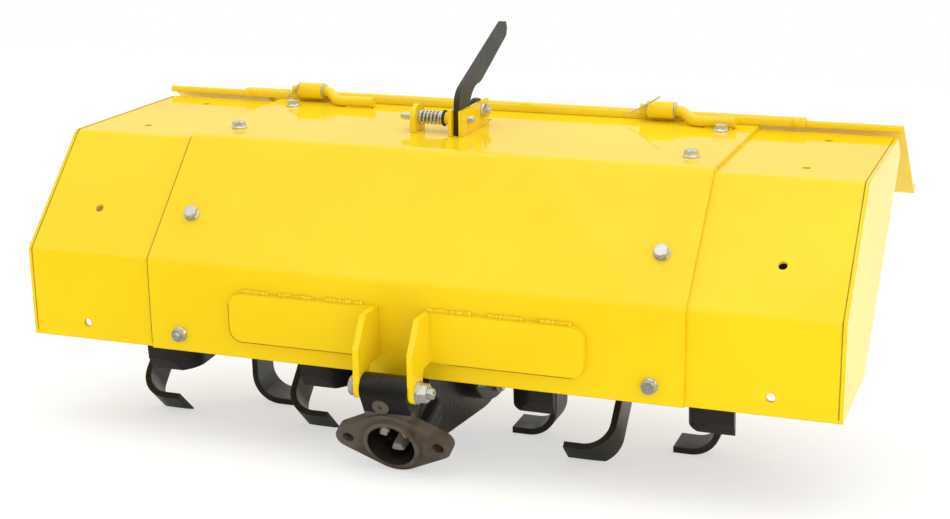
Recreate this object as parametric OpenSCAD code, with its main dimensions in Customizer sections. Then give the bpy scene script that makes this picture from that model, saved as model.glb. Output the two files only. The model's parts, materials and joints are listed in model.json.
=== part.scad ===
// Rotary tiller attachment for a two-wheel tractor, stored as it parks: on the lower edge of its
// coupling flange and on two rows of tines. X runs across the machine, the coupling faces -Y, Z is up.
// The origin is the centre of the coupling bore at the flange face.
// Hood sizes are given in the hood's own frame: y = 0 is the front panel of the side extensions,
// z = 0 is the lower front edge. The whole machine is then pitched down at the front to its rest.

/* [Hood] */
// Overall width over the extended sides
hood_w = 880; // [700:5:1000]
// Width of the fixed middle hood
centre_w = 580; // [480:5:640]
// Thickness of the hood sheet
sheet = 4; // [2:0.5:5]
// Height of the upright front panel
front_h = 97; // [80:1:110]
// Depth of the sloping panel, front to back
slope_d = 107.5; // [90:0.5:120]
// Height of the flat top of the extensions
top_z = 207; // [200:1:230]
// Rear end of the flat top
top_rear_y = 328; // [320:1:329]
// Depth of the lip bent down behind the top
lip_d = 16; // [6:1:20]
// Drop of the lip bent down behind the top
lip_h = 22; // [10:1:26]
// Outer radius of the sheet's bends
bend_r = 9; // [6:1:14]
// How far the extensions reach in under the middle hood
wing_tuck = 115; // [80:5:140]
// Thickness of the welded end plates
end_plate_t = 4; // [3:0.5:6]
// Level length of an end plate's lower edge
end_flat_y = 140; // [110:5:160]
// Where the end plate's slanted lower edge ends, from the front
end_slant_y = 309; // [290:1:318]
// Height at which the end plate's slanted edge ends
end_slant_z = 152; // [130:1:165]

/* [Hood bolts] */
// Distance of the bolt rows from the middle
bolt_x = 256; // [235:1:270]
// Outward step to the spare holes in the extensions
spare_step = 116; // [90:1:130]
// Height of the front bolts
bolt_front_z = 18.5; // [14:0.5:30]
// Place of the slope bolts along the slope, from its foot
bolt_slope_at = 56; // [40:1:100]
// Depth of the front row on the top
bolt_top_y = 150; // [135:1:180]
// Depth of the rear row on the top
bolt_rear_y = 285; // [260:1:292]
// Bolt shank diameter
bolt_d = 8; // [6:1:10]
// Diameter of the bolt holes
bolt_hole_d = 9; // [8.5:0.5:11]
// Diameter of a bolt's washer flange
bolt_flange_d = 18; // [15:0.5:22]
// Width across flats of the bolt heads and nuts
bolt_af = 13; // [10:0.5:14]
// Height of a bolt head above its washer flange
bolt_head_h = 6; // [4:0.5:8]
// Thickness of a bolt's washer flange
bolt_flange_t = 1.6; // [1:0.1:2.5]
// Height of the nuts inside the hood
bolt_nut_h = 7; // [5:0.5:8]

/* [Hitch brackets] */
// Half of the gap between the two ears
ear_gap = 25.5; // [24:0.5:30]
// Thickness of the bracket plate
ear_t = 7; // [5:0.5:9]
// Length of the bracket along the hood, measured from the ear
bracket_len = 167; // [120:1:180]
// Lower edge of the bracket on the hood
bracket_z = 20; // [15:1:30]
// Height of the bracket plate
bracket_h = 52; // [40:1:60]
// Run of the ear's chamfered top edge for each millimetre of rise
ear_slope = 0.65; // [0.4:0.05:0.9]
// Height of the ear's straight front edge above the pivot bolt
ear_front_h = 41; // [34:1:46]
// Radius of the ear's lower end round the pivot bolt
ear_end_r = 12; // [10:0.5:13]
// Radius of the inner corner between the ear and the bracket's lower edge
ear_fillet_r = 9; // [5:0.5:12]
// Corner radius of the bracket plate
bracket_r = 14; // [6:1:20]
// Pivot bolt ahead of the extensions' front panel
hitch_y = 44; // [40:0.5:46]
// Pivot bolt below the hood's lower edge
hitch_z = 0; // [0:0.5:4]
// Diameter of the pivot bolt
hitch_bolt_d = 12; // [10:1:14]

/* [Gear case] */
// Coupling face ahead of the extensions' front panel
flange_y = 36.7; // [30:0.1:45]
// Coupling bore below the hood's lower edge
flange_z = 60.3; // [55:0.1:70]
// Distance between the two flange bolt holes
flange_pcd = 98; // [90:1:110]
// Diameter of the flange bolt holes
flange_hole_d = 12.5; // [10:0.5:14]
// Radius of the flange's round middle
flange_r = 36; // [33:0.5:42]
// Radius of the flange's two ends
flange_lobe_r = 13.5; // [11:0.5:16]
// Thickness of the flange
flange_t = 13; // [10:0.5:16]
// Diameter of the spigot ring
spigot_d = 60; // [56:0.5:64]
// Height of the spigot ring
spigot_h = 5; // [3:0.5:8]
// Diameter of the coupling bore
bore_d = 50; // [44:0.5:52]
// Depth of the coupling bore behind the flange face
bore_depth = 24; // [16:0.5:25]
// Depth of the narrower recess for the dog clutch behind the flange face
recess_depth = 46; // [46:1:56]
// Running gap round the dog clutch
dog_gap = 1; // [0.5:0.1:1.4]
// Half width of the neck that passes between the tines
neck_hw = 26; // [22:0.5:27]
// Radius of the rim where the halves of the gear housing meet
rim_r = 110; // [100:1:116]
// Depth of the neck below the input axis at the flange
neck_low = 18; // [14:1:24]
// Height of the neck above the input axis at the flange
neck_high = 19; // [14:1:21]
// Length of the round housing behind the flange face
housing_len = 58; // [50:1:62]
// Length of the block that carries the pivot boss
boss_len = 72; // [60:1:80]
// Radius of the round gear housing
drum_r = 96; // [80:1:98]
// Half width of the round gear housing
drum_hw = 40; // [34:1:46]
// Radius of the pivot boss on top of the neck
boss_r = 15; // [13:0.5:16]
// Diameter of the dog clutch
dog_d = 44; // [36:0.5:46]

/* [Rotor] */
// Rotor axis behind the extensions' front panel
axis_y = 170; // [165:1:180]
// Rotor axis above the hood's lower edge
axis_z = 20; // [12:1:26]
// Radius of the tine circle
tine_r = 147; // [130:1:150]
// Width of a tine's bar
tine_w = 40; // [30:1:44]
// Thickness of a tine's bar
tine_t = 7; // [5:0.5:9]
// Reach of a tine's foot, measured from the back of its leg
foot_len = 52; // [42:1:53]
// Inner radius of a tine's bend
tine_bend_r = 26; // [16:1:30]
// Relief of a tine's foot: its front edge leans in towards the shaft
foot_relief = 11; // [6:0.5:14]
// Length of a tine's straight bar, measured from the foot
tine_len = 116; // [100:1:118]
// Width of the ground bevel along a tine's rear edge
bevel_w = 13; // [8:0.5:16]
// Thickness left at a tine's ground edge
edge_t = 1.5; // [1:0.1:3]
// Turn between the inward and the outward tines of one flange
cross_turn = 87; // [84:1:96]
// Sideways shift of the rotor
rotor_shift = 8; // [4:0.5:12]
// Distance of the first tine flange from the rotor's middle
set_first = 92; // [92:1:98]
// Distance of the last tine flange from the side of the hood
rotor_margin = 72; // [60:1:90]
// Radius of the tine flanges
disc_r = 60; // [48:1:70]
// Thickness of the tine flanges
disc_t = 8; // [6:0.5:10]
// Diameter of the rotor shaft
shaft_d = 46; // [36:1:50]

/* [Depth lever] */
// Sideways place of the lever
lever_x = -8; // [-14:0.5:0]
// Thickness of the lever
lever_t = 7; // [5:0.5:9]
// Side play between the lever and its bracket plates
lever_play = 0.5; // [0.3:0.1:1]
// Pivot behind the extensions' front panel
pivot_y = 237; // [225:1:245]
// Pivot above the hood's top
pivot_h = 17.6; // [16:0.1:20]
// Radius of the lever's round hub
hub_r = 13; // [11:0.5:14]
// Radius of the round clearance between the hub and the arm
hub_clear_r = 30; // [27:0.5:32]
// Front edge of the lever's arm behind the extensions' front panel
arm_y = 178; // [176:0.5:182]
// Height of the arm's elbow above the hood's top
elbow_h = 46; // [42:0.5:50]
// Radius of the arm's elbow
elbow_r = 20; // [12:1:24]
// Width of the handle where it leaves the arm
handle_w = 22.5; // [18:0.5:24]
// Width of the handle at its tip
handle_tip_w = 18; // [14:0.5:22]
// Length of the handle from the elbow
handle_len = 162; // [120:1:170]
// Distance from the elbow to the step behind the handle
handle_step = 67; // [60:1:72]
// Corner cut at the handle's tip
tip_cut = 6; // [3:0.5:8]
// Backward lean of the handle, from level
handle_rise = 21.6; // [20:0.1:24]
// Middle radius of the spur's bow round the rotor
spur_r = 192; // [186:1:194]
// Width of the spur
spur_w = 30; // [24:1:32]
// Angle below level at which the spur ends
spur_end = 40; // [20:1:42]
// Thickness of the bracket plates
cheek_t = 4; // [3:0.5:6]
// Height of the bracket plates
cheek_h = 28; // [26:0.5:32]
// Front end of the bracket plates
cheek_y0 = 172; // [165:1:174]
// Rear end of the bracket plates
cheek_y1 = 256; // [254:1:262]
// Lock pin behind the extensions' front panel
pin_y = 193; // [188:1:196]
// Lock pin above the hood's top
pin_h = 15.5; // [14:0.5:18]
// Diameter of the lock pin
pin_d = 8; // [6:0.5:9]
// Outer diameter of the lock spring
spring_d = 17; // [15:0.5:19]
// Wire diameter of the lock spring
wire_d = 2.2; // [1.6:0.1:2.6]
// Turns of the lock spring
spring_turns = 7; // [5:1:9]
// Distance from the lever to the eye of the lock pin
eye_gap = 52; // [44:1:58]

/* [Rear flap] */
// Half width of the middle flap
flap_mid_hw = 340; // [315:1:345]
// How far the flap's side pieces reach in under the middle flap
flap_tuck = 22; // [15:1:24]
// Thickness of the flap sheet
flap_t = 3; // [2:0.5:4]
// Slope of the hanging panel below level
flap_drop = 37; // [30:1:50]
// Length of the hanging panel
flap_len = 178; // [120:1:190]
// Height of the flap's upright front edge
flap_wall_h = 11; // [10:0.5:13]
// How far the flap reaches past each end of the hood
flap_over = 4; // [0:0.5:8]
// Hinge axis behind the extensions' front panel
hinge_y = 318; // [312:1:322]
// Outer diameter of the hinge tubes
tube_d = 19; // [17:0.5:22]
// Bore of the hinge tubes
tube_bore = 12.6; // [12.4:0.1:13]
// Height of the hinge tubes above the flap's lower edge
tube_lift = 3; // [2:0.5:5]
// Length of the hinge tubes
tube_len = 30; // [24:1:36]
// Middle of the hinge tubes, from the machine's middle
tube_x_left = -246; // [-260:1:-230]
// Middle of the right hinge tube
tube_x_right = 182; // [170:1:195]
// Diameter of the bent hinge rods
rod_d = 12; // [10:0.5:12]
// How far the rod's foot lies ahead of the hinge axis
rod_run = 17; // [16:0.5:17]
// Length of the rod welded on the hood
rod_foot = 40; // [30:1:50]
// Bend radius of the rod
rod_bend_r = 14; // [10:1:18]
// Slant of the rod's bent leg
rod_angle = 45; // [35:1:55]
// Radius of the rolled lower edge
hem_r = 5; // [4:0.5:7]
// Running gap between the resting flap and the hood
rest_gap = 0.3; // [0.2:0.1:0.5]

/* [Hidden] */

$fn = 48;
eps = 0.01;
fit = 0.05;

paint = "gold";
zinc = "silver";
tine_black = "#1c1c1e";
cast_grey = "#6d665e";
lever_grey = "#3a3836";

// Hood outline
half_w = hood_w / 2;
centre_hw = centre_w / 2;
wing_in = centre_hw - wing_tuck;
roof_z = top_z + sheet;
slope_h = top_z - front_h;
slope_len = norm([slope_d, slope_h]);
slope_a = atan2(slope_h, slope_d);
hood_line = [[0, 0], [0, front_h], [slope_d, top_z], [top_rear_y, top_z],
    [top_rear_y + lip_d, top_z - lip_h]];

// Hood bolts: place on the extensions' outer face and outward pitch of each bolt
bolt_places = [
    [0, bolt_front_z, 90],
    [bolt_slope_at * cos(slope_a), front_h + bolt_slope_at * sin(slope_a), slope_a],
    [bolt_top_y, top_z, 0],
    [bolt_rear_y, top_z, 0]];

// Input axis: it leaves the rotor axis square and slopes down to the coupling
case_y = axis_y + flange_y;
case_z = axis_z + flange_z;
case_len = norm([case_y, case_z]);
case_tilt = atan2(case_z, case_y);
hub_out = 12;
hub_hw = drum_hw + hub_out;
hub_wall = 15;
housing_wall = 3;
plug_af = 17;
plug_h = 6;
boss_hw = ear_gap - rest_gap;

// Tine flanges: four on each side, spread evenly up to the margin
set_count = 4;
set_last = half_w - rotor_margin;
set_pitch = (set_last - set_first) / (set_count - 1);

// Rest: a front and a rear row of tines stand equally deep, on the ground edge and the front edge
row_step = 45;
edge_lift = tine_t - edge_t;
edge_half = tine_w / 2;
row_front = atan2(
    tine_r * (1 - cos(row_step)) + edge_half * (sin(foot_relief) - sin(row_step - foot_relief))
        - edge_lift * cos(foot_relief),
    tine_r * sin(row_step) - edge_half * (cos(foot_relief) + cos(row_step - foot_relief))
        - edge_lift * sin(foot_relief));
row_rear = row_front - row_step;
tine_stand = tine_r * cos(row_front) + edge_half * sin(row_front + foot_relief)
    - edge_lift * cos(row_front + foot_relief);
rest_tilt = asin(tine_stand / norm([case_len, flange_r])) - atan2(flange_r, case_len);
park_pitch = rest_tilt - case_tilt;

// Spur: a bow about the rotor axis that joins the lever below the roof
spur_in = spur_r - spur_w / 2;
spur_out = spur_r + spur_w / 2;
spur_join = 60;

// Rear flap
flap_low_z = roof_z + rest_gap;
hinge_z = flap_low_z + tube_lift + tube_d / 2;
hinge_rod_z = roof_z + rod_d / 2;

// Line points moved square to the line, mitred at its corners
function unit(v) = v / norm(v);
function side(a, b) = let (d = unit(b - a)) [-d[1], d[0]];
function offset_line(pts, d) = [for (i = [0 : len(pts) - 1])
    let (
        n1 = side(pts[max(i - 1, 0)], pts[max(i, 1)]),
        n2 = side(pts[min(i, len(pts) - 2)], pts[min(i + 1, len(pts) - 1)]))
    pts[i] + (n1 + n2) * d / (1 + n1 * n2)];

// Line with its inner corners rounded by short arcs
arc_steps = 4;
function fillet(p, a, b, r) = let (
        u = unit(a - p),
        v = unit(b - p),
        half = acos(u * v) / 2,
        centre = p + unit(u + v) * r / sin(half),
        start = p + u * r / tan(half),
        from = start - centre,
        turn = (180 - 2 * half) * sign(u[0] * v[1] - u[1] * v[0]) * -1)
    [for (k = [0 : arc_steps]) let (t = turn * k / arc_steps)
        centre + [from[0] * cos(t) - from[1] * sin(t), from[0] * sin(t) + from[1] * cos(t)]];
function rounded(pts, r) = [for (i = [0 : len(pts) - 1])
    each (i == 0 || i == len(pts) - 1 ? [pts[i]] : fillet(pts[i], pts[i - 1], pts[i + 1], r))];

// Points along an arc about c
function arc_points(c, r, a0, a1, n) = [for (k = [0 : n]) let (t = a0 + (a1 - a0) * k / n)
    c + r * [cos(t), sin(t)]];

function reverse(pts) = [for (i = [len(pts) - 1 : -1 : 0]) pts[i]];

// Sheet between two distances from a line
module sheet_profile(line, low, high) {
    polygon(concat(offset_line(line, low), reverse(offset_line(line, high))));
}

// Machine frame: hood coordinates pitched to rest about the coupling bore
module parked() {
    rotate([park_pitch, 0, 0]) translate([0, flange_y, flange_z]) children();
}

// Outline in the hood's side view, drawn across the machine from x0 to x1
module across(x0, x1) {
    translate([x0, 0, 0]) rotate([90, 0, 90]) linear_extrude(x1 - x0) children();
}

// Gear case frame: origin on the rotor axis, -Y along the input axis to the coupling
module case_frame() {
    parked() translate([0, axis_y, axis_z]) rotate([case_tilt, 0, 0]) children();
}

// Rotor frame: origin on the rotor axis, upright to the floor
module rotor_frame() {
    parked() translate([0, axis_y, axis_z]) rotate([-park_pitch, 0, 0]) children();
}

module hex(af, h) {
    cylinder(d = af / cos(30), h = h, $fn = 6);
}

// Hood

module bolt_holes(x) {
    for (p = bolt_places)
        translate([x, p[0], p[1]]) rotate([p[2], 0, 0])
            cylinder(d = bolt_hole_d, h = 6 * sheet, center = true);
}

// Sheet line with every bend at its rounded radius
hood_bends = rounded(hood_line, bend_r);

module hood_sheet(x0, x1, low, high) {
    across(x0, x1) sheet_profile(hood_bends, low, high);
}

// Slot in the roof for the lever
module lever_slot() {
    slot_w = lever_t + 4 * lever_play;
    slot_y0 = pivot_y - hub_r - 4 * lever_play;
    slot_y1 = axis_y + spur_out * cos(spur_join) + 4 * lever_play;
    translate([lever_x - slot_w / 2, slot_y0, top_z - sheet])
        cube([slot_w, slot_y1 - slot_y0, 4 * sheet]);
}

module centre_hood() {
    color(paint) parked() difference() {
        hood_sheet(-centre_hw, centre_hw, 0, sheet);
        for (s = [-1, 1]) bolt_holes(s * bolt_x);
        lever_slot();
    }
}

module wing(s) {
    color(paint) parked() difference() {
        hood_sheet(min(s * wing_in, s * (half_w - end_plate_t)),
            max(s * wing_in, s * (half_w - end_plate_t)), -sheet, 0);
        bolt_holes(s * bolt_x);
        bolt_holes(s * (bolt_x + spare_step));
    }
}

module left_wing() { wing(-1); }
module right_wing() { wing(1); }

module end_plate(s) {
    color(paint) parked()
        across(s > 0 ? half_w - end_plate_t : -half_w, s > 0 ? half_w : end_plate_t - half_w)
            polygon(concat(hood_bends, [[end_slant_y, end_slant_z], [end_flat_y, 0]]));
}

module left_end_plate() { end_plate(-1); }
module right_end_plate() { end_plate(1); }

module hood_bolt() {
    translate([0, 0, sheet]) {
        cylinder(d = bolt_flange_d, h = bolt_flange_t);
        hex(bolt_af, bolt_flange_t + bolt_head_h);
    }
    translate([0, 0, -sheet - bolt_nut_h - 2]) cylinder(d = bolt_d, h = 2 * sheet + bolt_nut_h + 2 + eps);
    translate([0, 0, -sheet - bolt_nut_h]) hex(bolt_af, bolt_nut_h);
}

module hood_bolts() {
    color(zinc) parked()
        for (s = [-1, 1]) for (p = bolt_places)
            translate([s * bolt_x, p[0], p[1]]) rotate([p[2], 0, 0]) hood_bolt();
}

// Hitch

// Side view of an ear: chamfered above, rounded round the pivot bolt, with a rounded inner corner
module ear_outline() {
    front = -hitch_y - ear_end_r;
    rear = -hitch_y + ear_end_r;
    top = bracket_z + bracket_h;
    knee = ear_front_h - hitch_z;
    corner = fillet([rear, bracket_z], [-sheet, bracket_z], [rear, -hitch_z], ear_fillet_r);
    difference() {
        polygon(concat([[-sheet, top], [-sheet, bracket_z]], corner,
            arc_points([-hitch_y, -hitch_z], ear_end_r, 0, -180, 16),
            [[front, knee], [front + (top - knee) * ear_slope, top]]));
        translate([-hitch_y, -hitch_z]) circle(d = hitch_bolt_d + 2 * fit);
    }
}

module hitch_bracket() {
    across(ear_gap, ear_gap + ear_t) ear_outline();
    translate([ear_gap, -sheet, bracket_z]) rotate([90, 0, 0]) linear_extrude(ear_t) {
        square([bracket_len - bracket_r, bracket_h]);
        translate([bracket_len - bracket_r, bracket_r])
            square([bracket_r, bracket_h - 2 * bracket_r]);
        for (z = [bracket_r, bracket_h - bracket_r])
            translate([bracket_len - bracket_r, z]) circle(r = bracket_r);
    }
}

module right_hitch_bracket() { color(paint) parked() hitch_bracket(); }
module left_hitch_bracket() { color(paint) parked() mirror([1, 0, 0]) hitch_bracket(); }

hitch_grip = ear_gap + ear_t;
hitch_af = 1.5 * hitch_bolt_d;
hitch_head_h = 0.65 * hitch_bolt_d;
hitch_nut_h = 0.85 * hitch_bolt_d;

module at_hitch() {
    parked() translate([0, -hitch_y, -hitch_z]) rotate([0, 90, 0]) children();
}

module hitch_bolt() {
    color(zinc) at_hitch() {
        translate([0, 0, -hitch_grip - hitch_head_h]) hex(hitch_af, hitch_head_h);
        translate([0, 0, -hitch_grip - eps])
            cylinder(d = hitch_bolt_d, h = 2 * hitch_grip + hitch_nut_h + hitch_bolt_d / 2);
    }
}

module hitch_nut() {
    color(zinc) at_hitch() translate([0, 0, hitch_grip]) difference() {
        hex(hitch_af, hitch_nut_h);
        translate([0, 0, -1]) cylinder(d = hitch_bolt_d + 2 * fit, h = hitch_nut_h + 2);
    }
}

// Gear case

// Round middle and two round ends joined by straight tangents, walked once round
module flange_outline() {
    d = flange_pcd / 2;
    a = acos((flange_r - flange_lobe_r) / d);
    polygon(concat(
        arc_points([d, 0], flange_lobe_r, -a, a, 12), arc_points([0, 0], flange_r, a, 180 - a, 16),
        arc_points([-d, 0], flange_lobe_r, 180 - a, 180 + a, 12),
        arc_points([0, 0], flange_r, 180 + a, 360 - a, 16)));
}

// Coupling frame: origin at the bore on the flange face, Z points out of the coupling
module coupling_frame() {
    case_frame() translate([0, -case_len, 0]) rotate([90, 0, 0]) children();
}

// Point where a line from p touches a circle about the origin, on its left (-1) or right (1)
function tangent(p, r, s) = let (a = atan2(p[1], p[0]), b = acos(r / norm(p)))
    r * [cos(a + s * b), sin(a + s * b)];

// Side view of the neck and the rim of the gear housing, about the rotor axis
module neck_outline() {
    start_y = flange_t - case_len;
    low = [start_y, -neck_low];
    high = [start_y, neck_high];
    touch_low = tangent(low, rim_r, 1);
    touch_high = tangent(high, rim_r, -1);
    polygon(concat([high, low], arc_points([0, 0], rim_r,
        atan2(touch_low[1], touch_low[0]), atan2(touch_high[1], touch_high[0]), 48)));
}

// Side view of the block that carries the pivot boss, in the hood's frame
module boss_outline() {
    boss = [-hitch_y, -hitch_z];
    along = [cos(case_tilt), sin(case_tilt)];
    face = [-flange_y, -flange_z];
    polygon(concat(arc_points(boss, boss_r, 50, 200, 16),
        [face + along * flange_t / 2, face + along * boss_len]));
}

module gear_case() {
    color(cast_grey) difference() {
        union() {
            coupling_frame() {
                translate([0, 0, -flange_t]) linear_extrude(flange_t) flange_outline();
                translate([0, 0, -housing_len]) cylinder(d = spigot_d + 2 * housing_wall, h = housing_len - 1);
                translate([0, 0, -1]) cylinder(d = spigot_d, h = spigot_h + 1);
            }
            case_frame() {
                across(-drum_hw, drum_hw) circle(r = drum_r, $fn = 96);
                across(-hub_hw, hub_hw) circle(d = shaft_d + 2 * hub_wall);
                across(-neck_hw, neck_hw) neck_outline();
            }
            parked() across(-boss_hw, boss_hw) boss_outline();
        }
        coupling_frame() {
            translate([0, 0, -bore_depth]) cylinder(d = bore_d, h = bore_depth + spigot_h + 1);
            translate([0, 0, -recess_depth]) cylinder(d = dog_d + 2 * dog_gap, h = recess_depth);
            for (s = [-1, 1]) translate([s * flange_pcd / 2, 0, -flange_t - 4])
                cylinder(d = flange_hole_d, h = flange_t + 5);
        }
        at_hitch() cylinder(d = hitch_bolt_d + 2 * fit, h = 4 * ear_gap, center = true);
        case_frame() across(-2 * hub_hw, 2 * hub_hw) circle(d = shaft_d + 2 * fit);
    }
}

module case_plug() {
    color(zinc) case_frame() translate([0, 0, -rim_r]) rotate([180, 0, 0]) hex(plug_af, plug_h);
}

jaw_count = 3;
jaw_angle = 50;
jaw_h = 10;
dog_base_h = 10;
jaw_in_r = dog_d / 5;

// Dog clutch: a disc with three jaws, one of them at the bottom
module drive_dog() {
    color(zinc) coupling_frame() translate([0, 0, -recess_depth + rest_gap]) {
        cylinder(d = dog_d, h = dog_base_h);
        for (k = [0 : jaw_count - 1])
            let (mid = k * 360 / jaw_count - 90, from = mid - jaw_angle / 2, to = mid + jaw_angle / 2)
                translate([0, 0, dog_base_h - fit]) linear_extrude(jaw_h)
                    polygon(concat(arc_points([0, 0], dog_d / 2 - fit, from, to, 6),
                        arc_points([0, 0], jaw_in_r, to, from, 4)));
    }
}

// Depth lever

module at_pivot() {
    parked() translate([lever_x, pivot_y, roof_z + pivot_h]) rotate([0, 90, 0]) children();
}

cheek_in = lever_t / 2 + lever_play;
cheek_out = cheek_in + cheek_t;
pivot_d = 8;
pivot_z = roof_z + pivot_h;
step_turn = 12;
clear_turn = 8;

module cheek_outline() {
    difference() {
        translate([cheek_y0, roof_z]) square([cheek_y1 - cheek_y0, cheek_h]);
        translate([pivot_y, pivot_z]) circle(d = pivot_d + 2 * fit);
        translate([pin_y, roof_z + pin_h]) circle(d = pin_d + 2 * fit);
    }
}

module lever_bracket() {
    color(paint) parked() {
        across(lever_x + cheek_in, lever_x + cheek_out) cheek_outline();
        across(lever_x - cheek_out, lever_x - cheek_in) cheek_outline();
    }
}

module lever_pivot() {
    color(zinc) at_pivot() {
        cylinder(d = pivot_d, h = 2 * cheek_out + 2 * eps, center = true);
        translate([0, 0, cheek_out]) hex(1.6 * pivot_d, 0.8 * pivot_d);
        translate([0, 0, -cheek_out - 0.6 * pivot_d]) hex(1.6 * pivot_d, 0.6 * pivot_d);
    }
}

// Point of the handle: distance from the elbow along its front edge, distance behind that edge
function on_handle(along, behind) = [arm_y, roof_z + elbow_h]
    + along * [cos(handle_rise), sin(handle_rise)] + behind * [sin(handle_rise), -cos(handle_rise)];

// Side view of the lever, walked once round: arm, handle, step, round clearance, hub, and the spur that
// bows round the rotor
module lever_outline() {
    hub = [pivot_y, pivot_z];
    axis = [axis_y, axis_z];
    foot = roof_z + lever_play;
    elbow = [arm_y, roof_z + elbow_h];
    step = on_handle(handle_step, handle_w);
    clear_from = atan2(step[1] - hub[1], step[0] - hub[0]) + step_turn;
    difference() {
        polygon(concat(
            [[arm_y, foot]], fillet(elbow, [arm_y, foot], on_handle(handle_len, 0), elbow_r),
            [on_handle(handle_len - tip_cut, 0), on_handle(handle_len, tip_cut / 2),
                on_handle(handle_len, handle_tip_w - tip_cut),
                on_handle(handle_len - tip_cut, handle_tip_w), step],
            arc_points(hub, hub_clear_r, clear_from, 180 + clear_turn, 16),
            arc_points(hub, hub_r, 180 + 2 * clear_turn, -2 * clear_turn, 24),
            arc_points(axis, spur_out, spur_join, -spur_end, 24),
            arc_points(axis, spur_in, -spur_end, spur_join, 24),
            [[pivot_y - 0.8 * hub_r, foot]]));
        translate(hub) circle(d = pivot_d + 2 * fit);
        translate([pin_y, roof_z + pin_h]) circle(d = pin_d + 2 * fit);
    }
}

module depth_lever() {
    color(lever_grey) parked()
        across(lever_x - lever_t / 2, lever_x + lever_t / 2) lever_outline();
}

eye_x = lever_x - eye_gap;
eye_t = 6;

module at_pin(x) {
    parked() translate([x, pin_y, roof_z + pin_h]) rotate([0, 90, 0]) children();
}

collar_t = 5;
pin_out = 7;
pin_grip = 18;

module lock_pin() {
    pin_tip = lever_x + cheek_out + pin_out;
    pin_tail = eye_x - pin_grip;
    color(zinc) {
        at_pin(pin_tail) cylinder(d = pin_d, h = pin_tip - pin_tail);
        at_pin(lever_x - cheek_out - collar_t) cylinder(d = spring_d, h = collar_t - fit);
    }
}

// Helix swept as a tube of rings; every ring faces along the wire
module wire_coil(r, wire_r, turns, height) {
    sides = 8;
    rings = 12 * turns;
    points = [for (i = [0 : rings]) let (a = 360 * turns * i / rings)
        for (k = [0 : sides - 1]) let (b = 360 * k / sides, rr = r + wire_r * cos(b))
            [rr * cos(a), rr * sin(a), height * i / rings + wire_r * sin(b)]];
    skin = [for (i = [0 : rings - 1]) for (k = [0 : sides - 1]) let (n = (k + 1) % sides)
        [i * sides + k, (i + 1) * sides + k, (i + 1) * sides + n, i * sides + n]];
    caps = [[for (k = [0 : sides - 1]) k], [for (k = [sides - 1 : -1 : 0]) rings * sides + k]];
    polyhedron(points = points, faces = concat(skin, caps));
}

module lock_spring() {
    spring_x0 = eye_x + eye_t / 2;
    spring_x1 = lever_x - cheek_out - collar_t;
    color(zinc) at_pin(spring_x0 + wire_d / 2)
        wire_coil((spring_d - wire_d) / 2, wire_d / 2, spring_turns, spring_x1 - spring_x0 - wire_d);
}

module pin_eye() {
    eye_r = 14;
    color(paint) parked() across(eye_x - eye_t / 2, eye_x + eye_t / 2) difference() {
        union() {
            translate([pin_y, roof_z + pin_h]) circle(r = eye_r);
            translate([pin_y - eye_r, roof_z]) square([2 * eye_r, pin_h]);
        }
        translate([pin_y, roof_z + pin_h]) circle(d = pin_d + 2 * fit);
    }
}

// Hinges

module at_hinge(x) {
    parked() translate([x, hinge_y, hinge_z]) rotate([0, 90, 0]) children();
}

rod_tail = 9;
washer_t = 1.5;
washer_d = tube_d - 2 * rest_gap;

// Bent round bar in the plane that holds the pin and the foot: pin, bend, leg, bend back, foot
module hinge_rod(tube_x) {
    pin_len = tube_len + rod_tail + washer_t + 2 * rest_gap;
    pin_x = tube_x + tube_len / 2 + washer_t + rest_gap;
    step = [rod_run, hinge_z - hinge_rod_z];
    leg = (norm(step) - 2 * rod_bend_r * (1 - cos(rod_angle))) / sin(rod_angle);
    color(paint) parked()
        translate([pin_x, hinge_y, hinge_z]) rotate([atan2(step[1], step[0]), 0, 0]) {
            rotate([0, -90, 0]) cylinder(d = rod_d, h = pin_len);
            rod_bend() {
                rotate([0, 90, 0]) cylinder(d = rod_d, h = leg);
                translate([leg, 0, 0]) mirror([0, 1, 0]) rod_bend()
                    rotate([0, 90, 0]) cylinder(d = rod_d, h = rod_foot);
            }
        }
}

// Bend to the front by the rod's angle, with what follows it carried to the bend's end
module rod_bend() {
    translate([0, -rod_bend_r, 0]) rotate(90 - rod_angle) {
        rotate_extrude(angle = rod_angle) translate([rod_bend_r, 0]) circle(d = rod_d - 2 * fit);
        translate([rod_bend_r, 0, 0]) rotate(-90) children();
    }
}

module left_hinge_rod() { hinge_rod(tube_x_left); }
module right_hinge_rod() { hinge_rod(tube_x_right); }

module hinge_washers() {
    color(zinc) for (x = [tube_x_left, tube_x_right]) for (s = [-1, 1])
        at_hinge(x + s * (tube_len / 2 + rest_gap + washer_t / 2)) difference() {
            cylinder(d = washer_d, h = washer_t, center = true);
            cylinder(d = rod_d + 2 * fit, h = 2 * washer_t, center = true);
        }
}

module hinge_tube(x) {
    color(paint) at_hinge(x) difference() {
        cylinder(d = tube_d, h = tube_len, center = true);
        cylinder(d = tube_bore, h = tube_len + 2, center = true);
    }
}

module left_hinge_tube() { hinge_tube(tube_x_left); }
module right_hinge_tube() { hinge_tube(tube_x_right); }

// Rear flap: an upright front edge over the end of the roof, a bend that lies against the hinge tubes, the
// hanging panel and its rolled edge

flap_bend_r = flap_t + 1;
flap_turn = 90 + flap_drop;
bend_z = flap_low_z + flap_wall_h - flap_bend_r * tan(flap_turn / 2);
bend_reach = tube_d / 2 + flap_bend_r + flap_t - fit;
bend_y = hinge_y + sqrt(pow(bend_reach, 2) - pow(hinge_z - bend_z, 2));
flap_top = [bend_y - flap_bend_r, flap_low_z + flap_wall_h];
flap_fall = [cos(flap_drop), -sin(flap_drop)];
flap_line = [[flap_top[0], flap_low_z], flap_top, flap_top + flap_len * flap_fall];
flap_bends = rounded(flap_line, flap_bend_r);

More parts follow.
